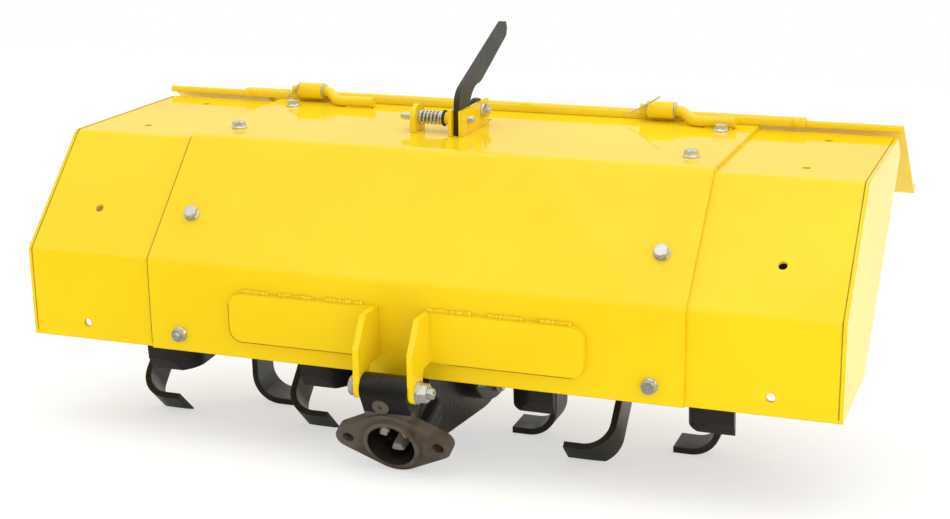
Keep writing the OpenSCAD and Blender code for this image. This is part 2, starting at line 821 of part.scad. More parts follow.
// Rolled edge whose underside lies at the given distance from the sheet line
module flap_hem(low) {
    translate(flap_line[2] + (low + hem_r) * [sin(flap_drop), cos(flap_drop)]) circle(r = hem_r);
}

module centre_flap() {
    color(paint) parked() across(-flap_mid_hw, flap_mid_hw) {
        sheet_profile(flap_bends, 0, flap_t);
        flap_hem(flap_t / 2);
    }
}

module flap_wing(s) {
    x_in = flap_mid_hw - flap_tuck;
    color(paint) parked() mirror([s > 0 ? 0 : 1, 0, 0]) {
        across(x_in, half_w + flap_over) sheet_profile(flap_bends, -flap_t, 0);
        across(flap_mid_hw + rest_gap, half_w + flap_over) flap_hem(-flap_t / 2);
    }
}

module left_flap_wing() { flap_wing(-1); }
module right_flap_wing() { flap_wing(1); }

module flap_bolts() {
    color(zinc) parked() for (s = [-1, 1]) for (d = [flap_len * 0.3, flap_len * 0.7])
        let (at = flap_top + d * flap_fall)
            translate([s * (flap_mid_hw - flap_tuck / 2), at[0], at[1]]) rotate([-flap_drop, 0, 0])
                translate([0, 0, flap_t + eps]) hex(bolt_af, bolt_head_h);
}

// Rotor

module rotor_shaft() {
    color(tine_black) rotor_frame() translate([rotor_shift, 0, 0]) rotate([0, 90, 0])
        cylinder(d = shaft_d, h = 2 * set_last + 3 * disc_t, center = true);
}

// One tine that points down: a flat leg, a bend and a foot that turns towards +X, ground along its rear edge
module tine() {
    knee = tine_bend_r + tine_t;
    bend = [knee - tine_t / 2, knee];
    bevel_cut = foot_len + 2 * tine_t;
    translate([0, 0, -tine_r]) rotate([-foot_relief, 0, 0]) difference() {
        translate([0, edge_half, 0]) rotate([90, 0, 0]) linear_extrude(tine_w)
            polygon(concat([[-tine_t / 2, tine_len]],
                arc_points(bend, knee, 180, 270, 12), [[foot_len - tine_t / 2, 0],
                [foot_len - tine_t / 2, tine_t]], arc_points(bend, tine_bend_r, 270, 180, 12),
                [[tine_t / 2, tine_len]]));
        translate([-tine_t, edge_half - bevel_w, 0]) rotate([atan2(edge_lift, bevel_w), 0, 0])
            translate([0, 0, -bevel_cut]) cube(bevel_cut);
    }
}

// Flange plate beside the legs, towards the machine's middle
disc_x = (disc_t + tine_t) / 2 - fit;

// Flange with its tines: angles are forward of straight down
module tine_set(s, k, inward, outward) {
    color(tine_black) rotor_frame()
        translate([rotor_shift + s * (set_first + (k - 1) * set_pitch), 0, 0]) {
            translate([-s * disc_x, 0, 0]) rotate([0, 90, 0]) difference() {
                cylinder(r = disc_r, h = disc_t, center = true);
                cylinder(d = shaft_d + 2 * fit, h = 2 * disc_t, center = true);
            }
            for (a = inward) rotate([-a, 0, 0]) mirror([s > 0 ? 1 : 0, 0, 0]) tine();
            for (a = outward) rotate([-a, 0, 0]) mirror([s > 0 ? 0 : 1, 0, 0]) tine();
        }
}

// A tine and the one opposite it
function pair(a) = [a, a + 180];

module left_tines_1() { tine_set(-1, 1, pair(row_rear), pair(row_rear + cross_turn)); }
module left_tines_2() { tine_set(-1, 2, pair(row_front), pair(row_front + cross_turn)); }
module left_tines_3() { tine_set(-1, 3, pair(row_rear), pair(row_rear + cross_turn)); }
module left_tines_4() { tine_set(-1, 4, pair(row_front), []); }
module right_tines_1() { tine_set(1, 1, pair(row_rear), pair(row_rear + cross_turn)); }
module right_tines_2() { tine_set(1, 2, pair(row_front), pair(row_front + cross_turn)); }
module right_tines_3() { tine_set(1, 3, pair(row_rear), pair(row_rear + cross_turn)); }
module right_tines_4() { tine_set(1, 4, pair(row_front + cross_turn), []); }

centre_hood();
left_wing();
right_wing();
left_end_plate();
right_end_plate();
left_hitch_bracket();
right_hitch_bracket();
hitch_bolt();
hitch_nut();
gear_case();
case_plug();
drive_dog();
hood_bolts();
lever_bracket();
lever_pivot();
depth_lever();
lock_pin();
lock_spring();
pin_eye();
left_hinge_rod();
right_hinge_rod();
hinge_washers();
centre_flap();
left_flap_wing();
right_flap_wing();
left_hinge_tube();
right_hinge_tube();
flap_bolts();
rotor_shaft();
left_tines_1();
left_tines_2();
left_tines_3();
left_tines_4();
right_tines_1();
right_tines_2();
right_tines_3();
right_tines_4();
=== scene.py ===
import json
from math import atan2, cos, pi, radians, sin, sqrt, tan

import bmesh
import bpy
from mathutils import Matrix, Vector


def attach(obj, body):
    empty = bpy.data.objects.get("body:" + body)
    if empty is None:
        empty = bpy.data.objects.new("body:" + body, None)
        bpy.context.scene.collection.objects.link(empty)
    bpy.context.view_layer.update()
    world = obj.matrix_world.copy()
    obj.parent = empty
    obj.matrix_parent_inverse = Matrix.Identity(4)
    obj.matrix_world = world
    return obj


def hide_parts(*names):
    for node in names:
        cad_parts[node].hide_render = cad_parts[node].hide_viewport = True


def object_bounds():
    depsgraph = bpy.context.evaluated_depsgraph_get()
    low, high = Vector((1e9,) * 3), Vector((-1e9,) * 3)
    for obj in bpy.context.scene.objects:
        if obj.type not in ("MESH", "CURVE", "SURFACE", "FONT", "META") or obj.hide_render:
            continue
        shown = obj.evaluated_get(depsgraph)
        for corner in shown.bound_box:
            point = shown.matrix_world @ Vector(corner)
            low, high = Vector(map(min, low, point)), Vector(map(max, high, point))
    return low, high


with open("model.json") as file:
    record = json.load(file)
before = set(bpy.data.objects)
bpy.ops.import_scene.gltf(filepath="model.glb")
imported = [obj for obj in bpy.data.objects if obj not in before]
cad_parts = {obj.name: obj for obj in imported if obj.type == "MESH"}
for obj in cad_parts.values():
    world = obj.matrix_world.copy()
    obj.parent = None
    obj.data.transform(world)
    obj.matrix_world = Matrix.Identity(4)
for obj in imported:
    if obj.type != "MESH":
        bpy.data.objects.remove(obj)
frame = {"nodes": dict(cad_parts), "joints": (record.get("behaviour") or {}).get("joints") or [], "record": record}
cad_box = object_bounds()
scene = bpy.context.scene

# Places in the hood's own frame, in millimetres: y = 0 is the front panel of the side extensions,
# z = 0 the lower front edge. The coupling bore, which is the row's origin, lies ahead and below.
MM = 0.001
COUPLING_Y = -36.7
COUPLING_Z = -60.3
ROTOR_Y = 170.0
ROTOR_Z = 20.0
ROTOR_SHIFT = 8.0

# Hood
SHEET = 4.0
HALF_W = 440.0
CENTRE_HW = 290.0
FRONT_H = 97.0
SLOPE_D = 107.5
TOP_Z = 207.0
SLOPE_A = atan2(TOP_Z - FRONT_H, SLOPE_D)
ROOF_Z = TOP_Z + SHEET
BOLT_X = 256.0
FRONT_BOLT_Z = 18.5
SLOPE_BOLT_UP = 56.0
ROOF_BOLT_Y = (150.0, 285.0)

# Depth lever and its lock pin
LEVER_X = -8.0
CHEEK_IN = 4.0
CHEEK_OUT = 8.0
CHEEK_BACK = 256.0
PIVOT_Y = 237.0
PIVOT_Z = ROOF_Z + 17.6
PIN_Y = 193.0
PIN_Z = ROOF_Z + 15.5
PIN_BORE = 4.1
SLEEVE_LEN = 10.5
WASHER_END = 12.6
EYE_X = LEVER_X - 52.0
EYE_HALF = 3.0

# Hitch brackets
HITCH_Y = -44.0
EAR_IN = 25.5
EAR_OUT = 32.5
BRACKET_LOW = 20.0
BRACKET_TOP = 72.0
BRACKET_END = EAR_IN + 167.0
BRACKET_ROUND = 14.0

# Hinges, and the rear flap's bend that lies against the hinge tubes
HINGE_Y = 318.0
HINGE_Z = 223.8
TUBE_D = 19.0
TUBE_HALF = 15.0
TUBES = (-246.0, 182.0)
ROD_R = 6.0
ROD_FOOT = (54.0, 84.0)
ROD_FOOT_Y = 301.0
FLAP_DROP = radians(37.0)
FLAP_T = 3.0
FLAP_LEN = 178.0
FLAP_BOLT_X = 329.0
FLAP_EDGE_H = 11.0
FLAP_LOW_Z = ROOF_Z + 0.3
BEND_R = FLAP_T + 1
BEND_Z = FLAP_LOW_Z + FLAP_EDGE_H - BEND_R * tan((pi / 2 + FLAP_DROP) / 2)
BEND_REACH = TUBE_D / 2 + BEND_R + FLAP_T - 0.05
BEND_Y = HINGE_Y + sqrt(BEND_REACH ** 2 - (HINGE_Z - BEND_Z) ** 2)
FLAP_TOP = Vector((0, BEND_Y - BEND_R, FLAP_LOW_Z + FLAP_EDGE_H))
FLAP_FALL = Vector((0, cos(FLAP_DROP), -sin(FLAP_DROP)))
FLAP_OUT = Vector((0, sin(FLAP_DROP), cos(FLAP_DROP)))

# Dog clutch: jaws, each with rings of (depth, inset) up to its chamfered tip
JAWS = 3
JAW_IN = 9.2
JAW_OUT = 17.5
JAW_MEAN = 15.0
JAW_SPREAD = radians(24.5)
JAW_RINGS = ((-26.0, 0.0), (-9.0, 0.0), (-7.8, 1.2))

# Rotor: angles of the tine rows in degrees, from the gear case outwards on each side
ROW_FRONT = 24.43
ROW_REAR = ROW_FRONT - 45.0
CROSS = 87.0
FRONT_PAIR = (ROW_FRONT, ROW_FRONT + CROSS)
REAR_PAIR = (ROW_REAR, ROW_REAR + CROSS)
TINE_ROWS = {
    -1: (REAR_PAIR, FRONT_PAIR, REAR_PAIR, (ROW_FRONT,)),
    1: (REAR_PAIR, FRONT_PAIR, REAR_PAIR, (ROW_FRONT + CROSS,))}
TINE_STEP = 92.0
TINE_BOLT_OUT = 49.0
TINE_BOLTS_BACK = (11.7, 32.9)
LEG_OUT = 3.5
PLATE_IN = 11.45
SHAFT_R = 23.0

# Gear case
COVER_X = 40.0
COVER_BOLTS = 8
COVER_BOLT_OUT = 84.0
PLUG_OUT = 109.6
NECK_R = 14.9
MOULD_X = -4.0

# Standard fasteners: thread, pitch, width across flats, flange
M8 = 8.0
M8_PITCH = 1.25
M8_FLATS = 13.0
M8_FLANGE = 17.0
M12 = 12.0
M12_PITCH = 1.75
M12_FLATS = 18.0
M12_FLANGE = 24.0

joints = {j["name"]: j for j in frame["joints"]}
rotor_place = Vector(joints["rotor_spin"]["pos_m"])
CASE_TILT = atan2(ROTOR_Z - COUPLING_Z, ROTOR_Y - COUPLING_Y)
PARK_PITCH = atan2(rotor_place.z, rotor_place.y) - CASE_TILT
PARK_TURN = Matrix.Rotation(PARK_PITCH, 4, "X")
COUPLING_WAY = Vector(joints["input_spin"]["axis"])
COUPLING_UP = COUPLING_WAY.cross(Vector((1, 0, 0)))


def parked(x, y, z):
    """A point of the hood's frame, in millimetres, as a point of the row frame, in metres."""
    return PARK_TURN @ (Vector((x, y - COUPLING_Y, z - COUPLING_Z)) * MM)


def parked_way(x, y, z):
    """A direction of the hood's frame in the row frame."""
    return PARK_TURN @ Vector((x, y, z))


def beside_rotor(x, out, angle):
    """A point of the rotor: x from the machine's middle, distance from the axis, angle forward of down."""
    return rotor_place + Vector((x, -out * sin(angle), -out * cos(angle))) * MM


def on_case(x, y, z):
    """A point of the gear case's frame: origin on the rotor axis, -Y along the input axis."""
    turned = Matrix.Rotation(CASE_TILT, 4, "X") @ Vector((x, y, z))
    return parked(turned.x, turned.y + ROTOR_Y, turned.z + ROTOR_Z)


RIGHT = parked_way(1, 0, 0)
CAST_MARK = parked(-5.0, -54.2, -17.4)

# Camera: the photograph's own view, fitted to the hood's corners and bolts
IMAGE_W = 950
FOCAL_PX = 1727.79
SENSOR_MM = 36.0
VIEW_AZIMUTH = radians(20.59)
VIEW_ELEVATION = radians(15.83)
VIEW_ROLL = radians(-0.80)
EYE = (649.98, -1523.91, 589.80)


def make_camera():
    a, e, r = VIEW_AZIMUTH, VIEW_ELEVATION, VIEW_ROLL
    back = Vector((sin(a) * cos(e), -cos(a) * cos(e), sin(e)))
    level = Vector((cos(a), sin(a), 0))
    rise = level.cross(-back)
    right = level * cos(r) + rise * sin(r)
    up = rise * cos(r) - level * sin(r)
    turn = Matrix((right, up, back)).transposed().to_4x4()
    data = bpy.data.cameras.new("photo_camera")
    data.sensor_fit = "HORIZONTAL"
    data.sensor_width = SENSOR_MM
    data.lens = FOCAL_PX * SENSOR_MM / IMAGE_W
    data.clip_start = 0.05
    data.clip_end = 60
    camera = bpy.data.objects.new("photo_camera", data)
    camera.matrix_world = Matrix.Translation(parked(*EYE)) @ PARK_TURN @ turn
    scene.collection.objects.link(camera)
    scene.camera = camera


make_camera()


# Node trees: short ways to add nodes, links and groups. A socket's id_data is the tree it belongs to.

def add(tree, kind, **settings):
    node = tree.nodes.new(kind)
    for key, value in settings.items():
        setattr(node, key, value)
    return node


def put(socket, value):
    """Links an output to a socket, or sets the socket to a plain value."""
    if isinstance(value, bpy.types.NodeSocket):
        socket.id_data.links.new(value, socket)
    else:
        socket.default_value = value


def fill(node, **values):
    """Links or sets a node's sockets; a value's name is its socket's name in small letters."""
    for socket in node.inputs:
        value = values.get(socket.name.lower().replace(" ", "_"))
        if value is not None:
            put(socket, value)


def math_node(tree, operation, *values, clamp=False):
    node = add(tree, "ShaderNodeMath", operation=operation, use_clamp=clamp)
    for socket, value in zip(node.inputs, values):
        put(socket, value)
    return node.outputs[0]


def times(value, factor):
    return math_node(value.id_data, "MULTIPLY", value, factor)


def times_plus(value, factor, rest, clamp=False):
    return math_node(value.id_data, "MULTIPLY_ADD", value, factor, rest, clamp=clamp)


def vector_math(operation, first, second, output="Value"):
    node = add(first.id_data, "ShaderNodeVectorMath", operation=operation)
    put(node.inputs[0], first)
    put(node.inputs[1], second)
    return node.outputs[output]


def split(vector):
    node = add(vector.id_data, "ShaderNodeSeparateXYZ")
    put(node.inputs[0], vector)
    return node.outputs


def object_place(tree):
    return add(tree, "ShaderNodeTexCoord").outputs["Object"]


def ramp(value, low, high, out_low=0.0, out_high=1.0):
    """A smooth step of a value between two limits."""
    node = add(value.id_data, "ShaderNodeMapRange", interpolation_type="SMOOTHSTEP")
    put(node.inputs["Value"], value)
    limits = {"From Min": low, "From Max": high, "To Min": out_low, "To Max": out_high}
    for name, limit in limits.items():
        node.inputs[name].default_value = limit
    return node.outputs["Result"]


def layered(colour, *coats):
    """A colour with further ones over it; each coat is a mask and the colour it lets through."""
    for mask, over in coats:
        node = add(mask.id_data, "ShaderNodeMix", data_type="RGBA")
        put(node.inputs["Factor"], mask)
        put(node.inputs[6], colour)
        put(node.inputs[7], over)
        colour = node.outputs[2]
    return colour


def noise(vector, scale, detail, roughness):
    node = add(vector.id_data, "ShaderNodeTexNoise")
    fill(node, vector=vector, scale=scale, detail=detail, roughness=roughness)
    return node.outputs["Fac"]


def floats(*labels):
    return dict.fromkeys(labels, "NodeSocketFloat")


def new_group(name, inputs, outputs, kind="ShaderNodeTree"):
    tree = bpy.data.node_groups.new(name, kind)
    for in_out, sockets in (("INPUT", inputs), ("OUTPUT", outputs)):
        for label, socket_type in sockets.items():
            tree.interface.new_socket(name=label, in_out=in_out, socket_type=socket_type)
    return tree, tree.nodes.new("NodeGroupInput").outputs, tree.nodes.new("NodeGroupOutput")


# Finish effects that several materials share

def make_skin_group():
    """Fine skin of paint or a casting, and slow patches of tint, both as values."""
    tree, enter, leave = new_group(
        "finish_skin", floats("Skin Scale", "Patch Scale"), floats("Skin", "Patches"))
    place = object_place(tree)
    fine = noise(place, enter["Skin Scale"], detail=2.0, roughness=0.45)
    slow = noise(place, enter["Patch Scale"], detail=3.0, roughness=0.55)
    fill(leave, skin=fine, patches=ramp(slow, 0.3, 0.7))
    return tree


def make_scuff_group():
    """Thin handling marks, drawn out along one direction and gathered in patches."""
    tree, enter, leave = new_group("handling_marks", floats("Mark Scale", "Amount", "Turn"), floats("Marks"))
    place = object_place(tree)
    turn = add(tree, "ShaderNodeVectorRotate", rotation_type="X_AXIS")
    fill(turn, vector=place, angle=enter["Turn"])
    stretch = add(tree, "ShaderNodeMapping")
    fill(stretch, vector=turn.outputs[0], scale=(0.12, 1.0, 1.4))
    lines = noise(stretch.outputs[0], enter["Mark Scale"], detail=4.0, roughness=0.6)
    patches = noise(place, 9.0, detail=2.0, roughness=0.5)
    thin = ramp(lines, 0.60, 0.70)
    gathered = ramp(patches, 0.48, 0.66)
    both = times(thin, gathered)
    fill(leave, marks=times(both, enter["Amount"]))
    return tree


def make_dust_group():
    """Dust that lies on what faces up, in soft patches."""
    tree, enter, leave = new_group("settled_dust", floats("Amount", "Patch Scale"), floats("Dust"))
    coords = add(tree, "ShaderNodeTexCoord").outputs
    facing = ramp(split(coords["Normal"])["Z"], 0.1, 0.95)
    patches = noise(coords["Object"], enter["Patch Scale"], detail=5.0, roughness=0.65)
    both = times(facing, ramp(patches, 0.38, 0.72))
    fill(leave, dust=times(both, enter["Amount"]))
    return tree


def make_edge_group():
    """Edges rounded by a small radius, and a broken mask along them: rubbed wear on the steels and the casting, a
    painted highlight on the yellow paint.
    """
    tree, enter, leave = new_group(
        "rubbed_edges", floats("Break Scale", "Amount", "Rounding"),
        {**floats("Rub"), "Normal": "NodeSocketVector"})
    tree.interface.items_tree["Rounding"].default_value = 0.9 * MM
    round_edge = add(tree, "ShaderNodeBevel", samples=4)
    fill(round_edge, radius=enter["Rounding"])
    rounded = round_edge.outputs[0]
    sharp = add(tree, "ShaderNodeNewGeometry").outputs["Normal"]
    edge = ramp(vector_math("DOT_PRODUCT", rounded, sharp), 0.995, 0.90)
    grain = noise(object_place(tree), enter["Break Scale"], detail=4.0, roughness=0.6)
    # Broken edge mask: worn edges on the steels and the casting, a painted highlight on the yellow paint.
    rub = times(edge, ramp(grain, 0.40, 0.62))
    fill(leave, rub=times(rub, enter["Amount"]), normal=rounded)
    return tree


SKIN = make_skin_group()
SCUFFS = make_scuff_group()
DUST = make_dust_group()
EDGES = make_edge_group()


def use(tree, group, **values):
    """Places a group in a material, with the material's own values."""
    node = add(tree, "ShaderNodeGroup", node_tree=group)
    fill(node, **values)
    return node.outputs


def new_material(name):
    material = bpy.data.materials.new(name)
    material.use_nodes = True
    return material, material.node_tree, material.node_tree.nodes["Principled BSDF"]


def bump(height, strength, depth, normal=None):
    """A normal with fine relief on it; depth in millimetres."""
    node = add(height.id_data, "ShaderNodeBump")
    fill(node, strength=strength, distance=depth * MM, height=height, normal=normal)
    return node.outputs["Normal"]


# Finishes of this machine

def make_yellow_paint():
    """Glossy enamel: slow tint, orange peel under a clear mirror coat, a little dust and handling, and a painted
    highlight of lighter yellow along the edges.
    """
    material, tree, shader = new_material("yellow_paint")
    skin, patches = use(tree, SKIN, skin_scale=210.0, patch_scale=5.0)
    marks = use(tree, SCUFFS, mark_scale=70.0, amount=0.45, turn=0.5)["Marks"]
    dust = use(tree, DUST, amount=0.05, patch_scale=11.0)["Dust"]
    rub, edge_way = use(tree, EDGES, break_scale=160.0, amount=0.3, rounding=1.8 * MM)
    deep, light = (0.905, 0.625, 0.0085, 1), (0.930, 0.675, 0.0120, 1)
    # The lighter yellow laid on the edge mask is a painted highlight along the bends and edges.
    dusty, painted_edge_highlight = (0.86, 0.66, 0.16, 1), (0.95, 0.72, 0.05, 1)
    rough = times_plus(marks, 0.30, 0.20)
    fill(shader,
         base_color=layered(deep, (patches, light), (dust, dusty), (rub, painted_edge_highlight)),
         roughness=times_plus(dust, 0.8, rough, clamp=True),
         specular_ior_level=0.0,
         coat_weight=times_plus(marks, -0.35, 0.65),
         coat_roughness=0.035,
         coat_ior=1.5,
         normal=bump(skin, strength=0.06, depth=0.6, normal=edge_way))
    return material


def make_black_steel():
    """Black dipped paint on forged tines: satin, scuffed, brownish dust, rubbed through along the edges."""
    material, tree, shader = new_material("black_steel")
    skin, patches = use(tree, SKIN, skin_scale=240.0, patch_scale=12.0)
    marks = use(tree, SCUFFS, mark_scale=90.0, amount=0.8, turn=1.1)["Marks"]
    dust = use(tree, DUST, amount=0.35, patch_scale=18.0)["Dust"]
    rub, edge_way = use(tree, EDGES, break_scale=140.0, amount=0.75)
    deep, light = (0.0095, 0.0085, 0.0075, 1), (0.019, 0.0165, 0.0135, 1)
    dusty, scuffed, bare = (0.060, 0.052, 0.040, 1), (0.075, 0.068, 0.058, 1), (0.20, 0.185, 0.165, 1)
    rough = times_plus(patches, 0.14, 0.30)
    fill(shader,
         base_color=layered(deep, (patches, light), (dust, dusty), (marks, scuffed),
                            (rub, bare)),
         metallic=times(rub, 0.7),
         roughness=times_plus(dust, 0.5, rough, clamp=True),
         normal=bump(skin, strength=0.18, depth=0.5, normal=edge_way))
    return material


def make_lever_steel():
    """Dark phosphated flat bar: matt grey-brown with pale scratches and rubbed edges."""
    material, tree, shader = new_material("lever_steel")
    skin, patches = use(tree, SKIN, skin_scale=420.0, patch_scale=16.0)
    marks = use(tree, SCUFFS, mark_scale=120.0, amount=0.8, turn=0.4)["Marks"]
    rub, edge_way = use(tree, EDGES, break_scale=180.0, amount=0.9)
    deep, light = (0.023, 0.0205, 0.0165, 1), (0.040, 0.036, 0.028, 1)
    scratched, bare = (0.13, 0.115, 0.095, 1), (0.17, 0.155, 0.135, 1)
    fill(shader,
         base_color=layered(deep, (patches, light), (marks, scratched), (rub, bare)),
         metallic=times_plus(rub, 0.5, 0.25),
         roughness=times_plus(skin, 0.25, 0.38),
         normal=bump(skin, strength=0.25, depth=0.3, normal=edge_way))
    return material


def make_zinc():
    """Bright zinc plate: faint crystals, warm and cool stains, soft edges."""
    material, tree, shader = new_material("zinc")
    skin, patches = use(tree, SKIN, skin_scale=650.0, patch_scale=90.0)
    crystal = add(tree, "ShaderNodeTexVoronoi")
    fill(crystal, vector=object_place(tree), scale=420.0)
    grey = add(tree, "ShaderNodeRGBToBW")
    put(grey.inputs[0], crystal.outputs["Color"])
    tone = grey.outputs[0]
    cool, warm, bright = (0.54, 0.54, 0.52, 1), (0.64, 0.62, 0.56, 1), (0.72, 0.73, 0.74, 1)
    crystals = ramp(tone, 0.2, 0.9, 0.0, 0.25)
    fill(shader,
         base_color=layered(cool, (patches, warm), (crystals, bright)),
         metallic=0.75,
         roughness=ramp(tone, 0.1, 0.9, 0.14, 0.28),
         normal=bump(skin, strength=0.08, depth=0.15, normal=use(tree, EDGES)["Normal"]))
    return material


def make_casting():
    """Sand casting: raw and rust-blushed round the coupling flange, glossy black paint behind it."""
    material, tree, shader = new_material("casting")
    skin, patches = use(tree, SKIN, skin_scale=520.0, patch_scale=34.0)
    lumps, lump_patches = use(tree, SKIN, skin_scale=120.0, patch_scale=9.0)
    dust = use(tree, DUST, amount=0.22, patch_scale=30.0)["Dust"]
    rub, edge_way = use(tree, EDGES, break_scale=110.0, amount=0.8)

    place = object_place(tree)
    on_axis = vector_math("PROJECT", place, COUPLING_WAY, "Vector")
    ahead = vector_math("DOT_PRODUCT", place, COUPLING_WAY)
    above = vector_math("DOT_PRODUCT", place, COUPLING_UP)
    from_axis = vector_math("DISTANCE", place, on_axis)
    from_mark = vector_math("DISTANCE", place, CAST_MARK)
    on_flange = ramp(ahead, -15 * MM, -12.5 * MM)
    below_top = ramp(above, 38 * MM, 36.5 * MM)
    outside_bore = ramp(from_axis, 25.2 * MM, 25.6 * MM)
    raw = times(times(on_flange, below_top), outside_bore)
    raw = math_node(tree, "MAXIMUM", raw, ramp(from_mark, 9.6 * MM, 8.8 * MM))

    deep, light, dusty = (0.008, 0.0068, 0.0055, 1), (0.016, 0.0135, 0.0105, 1), (0.095, 0.082, 0.064, 1)
    dull, pale, rusty = (0.095, 0.079, 0.060, 1), (0.140, 0.117, 0.091, 1), (0.078, 0.045, 0.026, 1)
    bare = (0.19, 0.165, 0.14, 1)
    paint = layered(deep, (lump_patches, light), (dust, dusty))
    rust = ramp(patches, 0.45, 1.0, 0.0, 0.75)
    iron = layered(dull, (lump_patches, pale), (rust, rusty))
    rub = times(rub, ramp(raw, 0.0, 1.0, 0.25, 0.8))
    rough = times_plus(raw, 0.30, 0.26)
    rough = times_plus(skin, 0.14, rough)
    height = times_plus(lumps, 1.4, skin)
    fill(shader,
         base_color=layered(paint, (raw, iron), (rub, bare)),
         roughness=times_plus(dust, 0.5, rough, clamp=True),
         specular_ior_level=0.25,
         normal=bump(height, strength=0.32, depth=0.7, normal=edge_way))
    return material


def make_steel():
    """Machined steel of the dog clutch: turned grooves, oily stains."""
    material, tree, shader = new_material("steel")
    skin, patches = use(tree, SKIN, skin_scale=380.0, patch_scale=60.0)
    marks = use(tree, SCUFFS, mark_scale=260.0, amount=0.9, turn=1.4)["Marks"]
    dull, light, oily = (0.42, 0.38, 0.31, 1), (0.56, 0.52, 0.44, 1), (0.24, 0.21, 0.17, 1)
    fill(shader,
         base_color=layered(dull, (patches, light), (marks, oily)),
         metallic=0.2,
         roughness=times_plus(skin, 0.25, 0.28),
         normal=bump(skin, strength=0.12, depth=0.2, normal=use(tree, EDGES)["Normal"]))
    return material


def make_rubber():
    """Black rubber of the stop washer: matt, faintly dusty."""
    material, tree, shader = new_material("stop_rubber")
    skin, patches = use(tree, SKIN, skin_scale=800.0, patch_scale=70.0)
    dust = use(tree, DUST, amount=0.5, patch_scale=60.0)["Dust"]
    deep, worn, dusty = (0.010, 0.010, 0.010, 1), (0.022, 0.020, 0.018, 1), (0.09, 0.08, 0.065, 1)
    fill(shader,
         base_color=layered(deep, (patches, worn), (dust, dusty)),
         roughness=times_plus(skin, 0.2, 0.5),
         normal=bump(skin, strength=0.2, depth=0.2))
    return material


def make_seam_shade():
    """Painted shade of a seam between two painted sheets, with the dust caught in it."""
    material, tree, shader = new_material("seam_dust")
    skin, patches = use(tree, SKIN, skin_scale=500.0, patch_scale=40.0)
    dark, light = (0.27, 0.160, 0.008, 1), (0.40, 0.255, 0.012, 1)
    fill(shader,
         base_color=layered(dark, (patches, light)),
         roughness=times_plus(skin, 0.2, 0.6))
    return material


FINISHES = {
    "yellow_paint": make_yellow_paint(),
    "black_steel": make_black_steel(),
    "zinc": make_zinc(),
    "casting": make_casting(),
    "steel": make_steel(),
    "lever_steel": make_lever_steel(),
}
RUBBER = make_rubber()
SEAM = make_seam_shade()

for part in frame["record"]["subparts"]:
    node_object = frame["nodes"][part["node"]]
    node_object.data.materials.clear()
    node_object.data.materials.append(FINISHES[part["material_slot"]])


# Studio: pale floor, white air, soft lights

FLOOR_HALF = 14.0


def new_object(name, mesh):
    piece = bpy.data.objects.new(name, mesh)
    scene.collection.objects.link(piece)
    return piece


def mixed(tree, share, first, second):
    node = add(tree, "ShaderNodeMixShader")
    for socket, value in zip(node.inputs, (share, first, second)):
        put(socket, value)
    return node.outputs[0]


def make_floor():
    """Pale to the eye, clear from below; in front of the machine it is dimmer in the paint's reflections."""
    mesh = bpy.data.meshes.new("studio_floor")
    low, high, level = -FLOOR_HALF, FLOOR_HALF, cad_box[0].z
    corners = [(low, low, level), (high, low, level), (high, high, level), (low, high, level)]
    mesh.from_pydata(corners, [], [(0, 1, 2, 3)])
    floor = new_object("studio_floor", mesh)
    material, tree, shader = new_material("floor_pale")
    fill(shader, base_color=(0.95, 0.95, 0.945, 1), roughness=0.9, specular_ior_level=0.0,
         emission_color=(1, 1, 1, 1), emission_strength=0.15)
    dim = add(tree, "ShaderNodeBsdfDiffuse")
    fill(dim, color=(0.18, 0.18, 0.18, 1))
    white = add(tree, "ShaderNodeEmission").outputs[0]
    clear = add(tree, "ShaderNodeBsdfTransparent").outputs[0]
    surface = add(tree, "ShaderNodeNewGeometry").outputs
    path = add(tree, "ShaderNodeLightPath").outputs
    ahead = ramp(split(surface["Position"])["Y"], 0.35, -0.25)
    seen = times(path["Is Camera Ray"], 0.5)
    mirrored = times(ahead, path["Is Glossy Ray"])
    pale = mixed(tree, seen, shader.outputs[0], white)
    both = mixed(tree, mirrored, pale, dim.outputs[0])
    whole = mixed(tree, surface["Backfacing"], both, clear)
    put(tree.nodes["Material Output"].inputs["Surface"], whole)
    mesh.materials.append(material)


def make_air():
    """White to the eye; as light, bright behind and above the machine and dimmer in front of it."""
    world = bpy.data.worlds.new("studio_air")
    world.use_nodes = True
    tree = world.node_tree
    way = split(add(tree, "ShaderNodeTexCoord").outputs["Generated"])
    behind = ramp(way["Y"], -0.7, 0.35, 0.5, 0.8)
    above = ramp(way["Z"], 0.2, 0.9, 0.0, 0.6)
    strength = add(tree, "ShaderNodeMix", data_type="FLOAT")
    put(strength.inputs["Factor"], add(tree, "ShaderNodeLightPath").outputs["Is Camera Ray"])
    put(strength.inputs[2], math_node(tree, "ADD", behind, above))
    put(strength.inputs[3], 1.0)
    fill(tree.nodes["Background"], color=(1, 1, 1, 1), strength=strength.outputs[0])
    scene.world = world


def area_light(name, place, size, power):
    """A soft rectangular light that looks at the machine's middle."""
    middle = Vector((0.0, 0.15, 0.15))
    data = bpy.data.lights.new(name, "AREA")
    data.shape = "RECTANGLE"
    data.size, data.size_y = size
    data.energy = power
    light = new_object(name, data)
    light.location = place
    light.rotation_mode = "QUATERNION"
    light.rotation_quaternion = (middle - Vector(place)).to_track_quat("-Z", "Y")


make_floor()
make_air()
area_light("key_front", (-0.9, -2.3, 1.7), size=(3.0, 2.0), power=4.5)
area_light("fill_right", (2.2, -1.7, 0.9), size=(2.0, 1.6), power=15)
area_light("overhead", (0.2, -0.1, 2.6), size=(2.4, 1.4), power=5)
scene.view_settings.view_transform = "Standard"

# Geometry Nodes: trees for what repeats on this machine, with places from a mesh's points

def geometry_group(name, *sizes, **others):
    shape = {"Geometry": "NodeSocketGeometry"}
    return new_group(name, {**shape, **floats(*sizes), **others}, shape, "GeometryNodeTree")


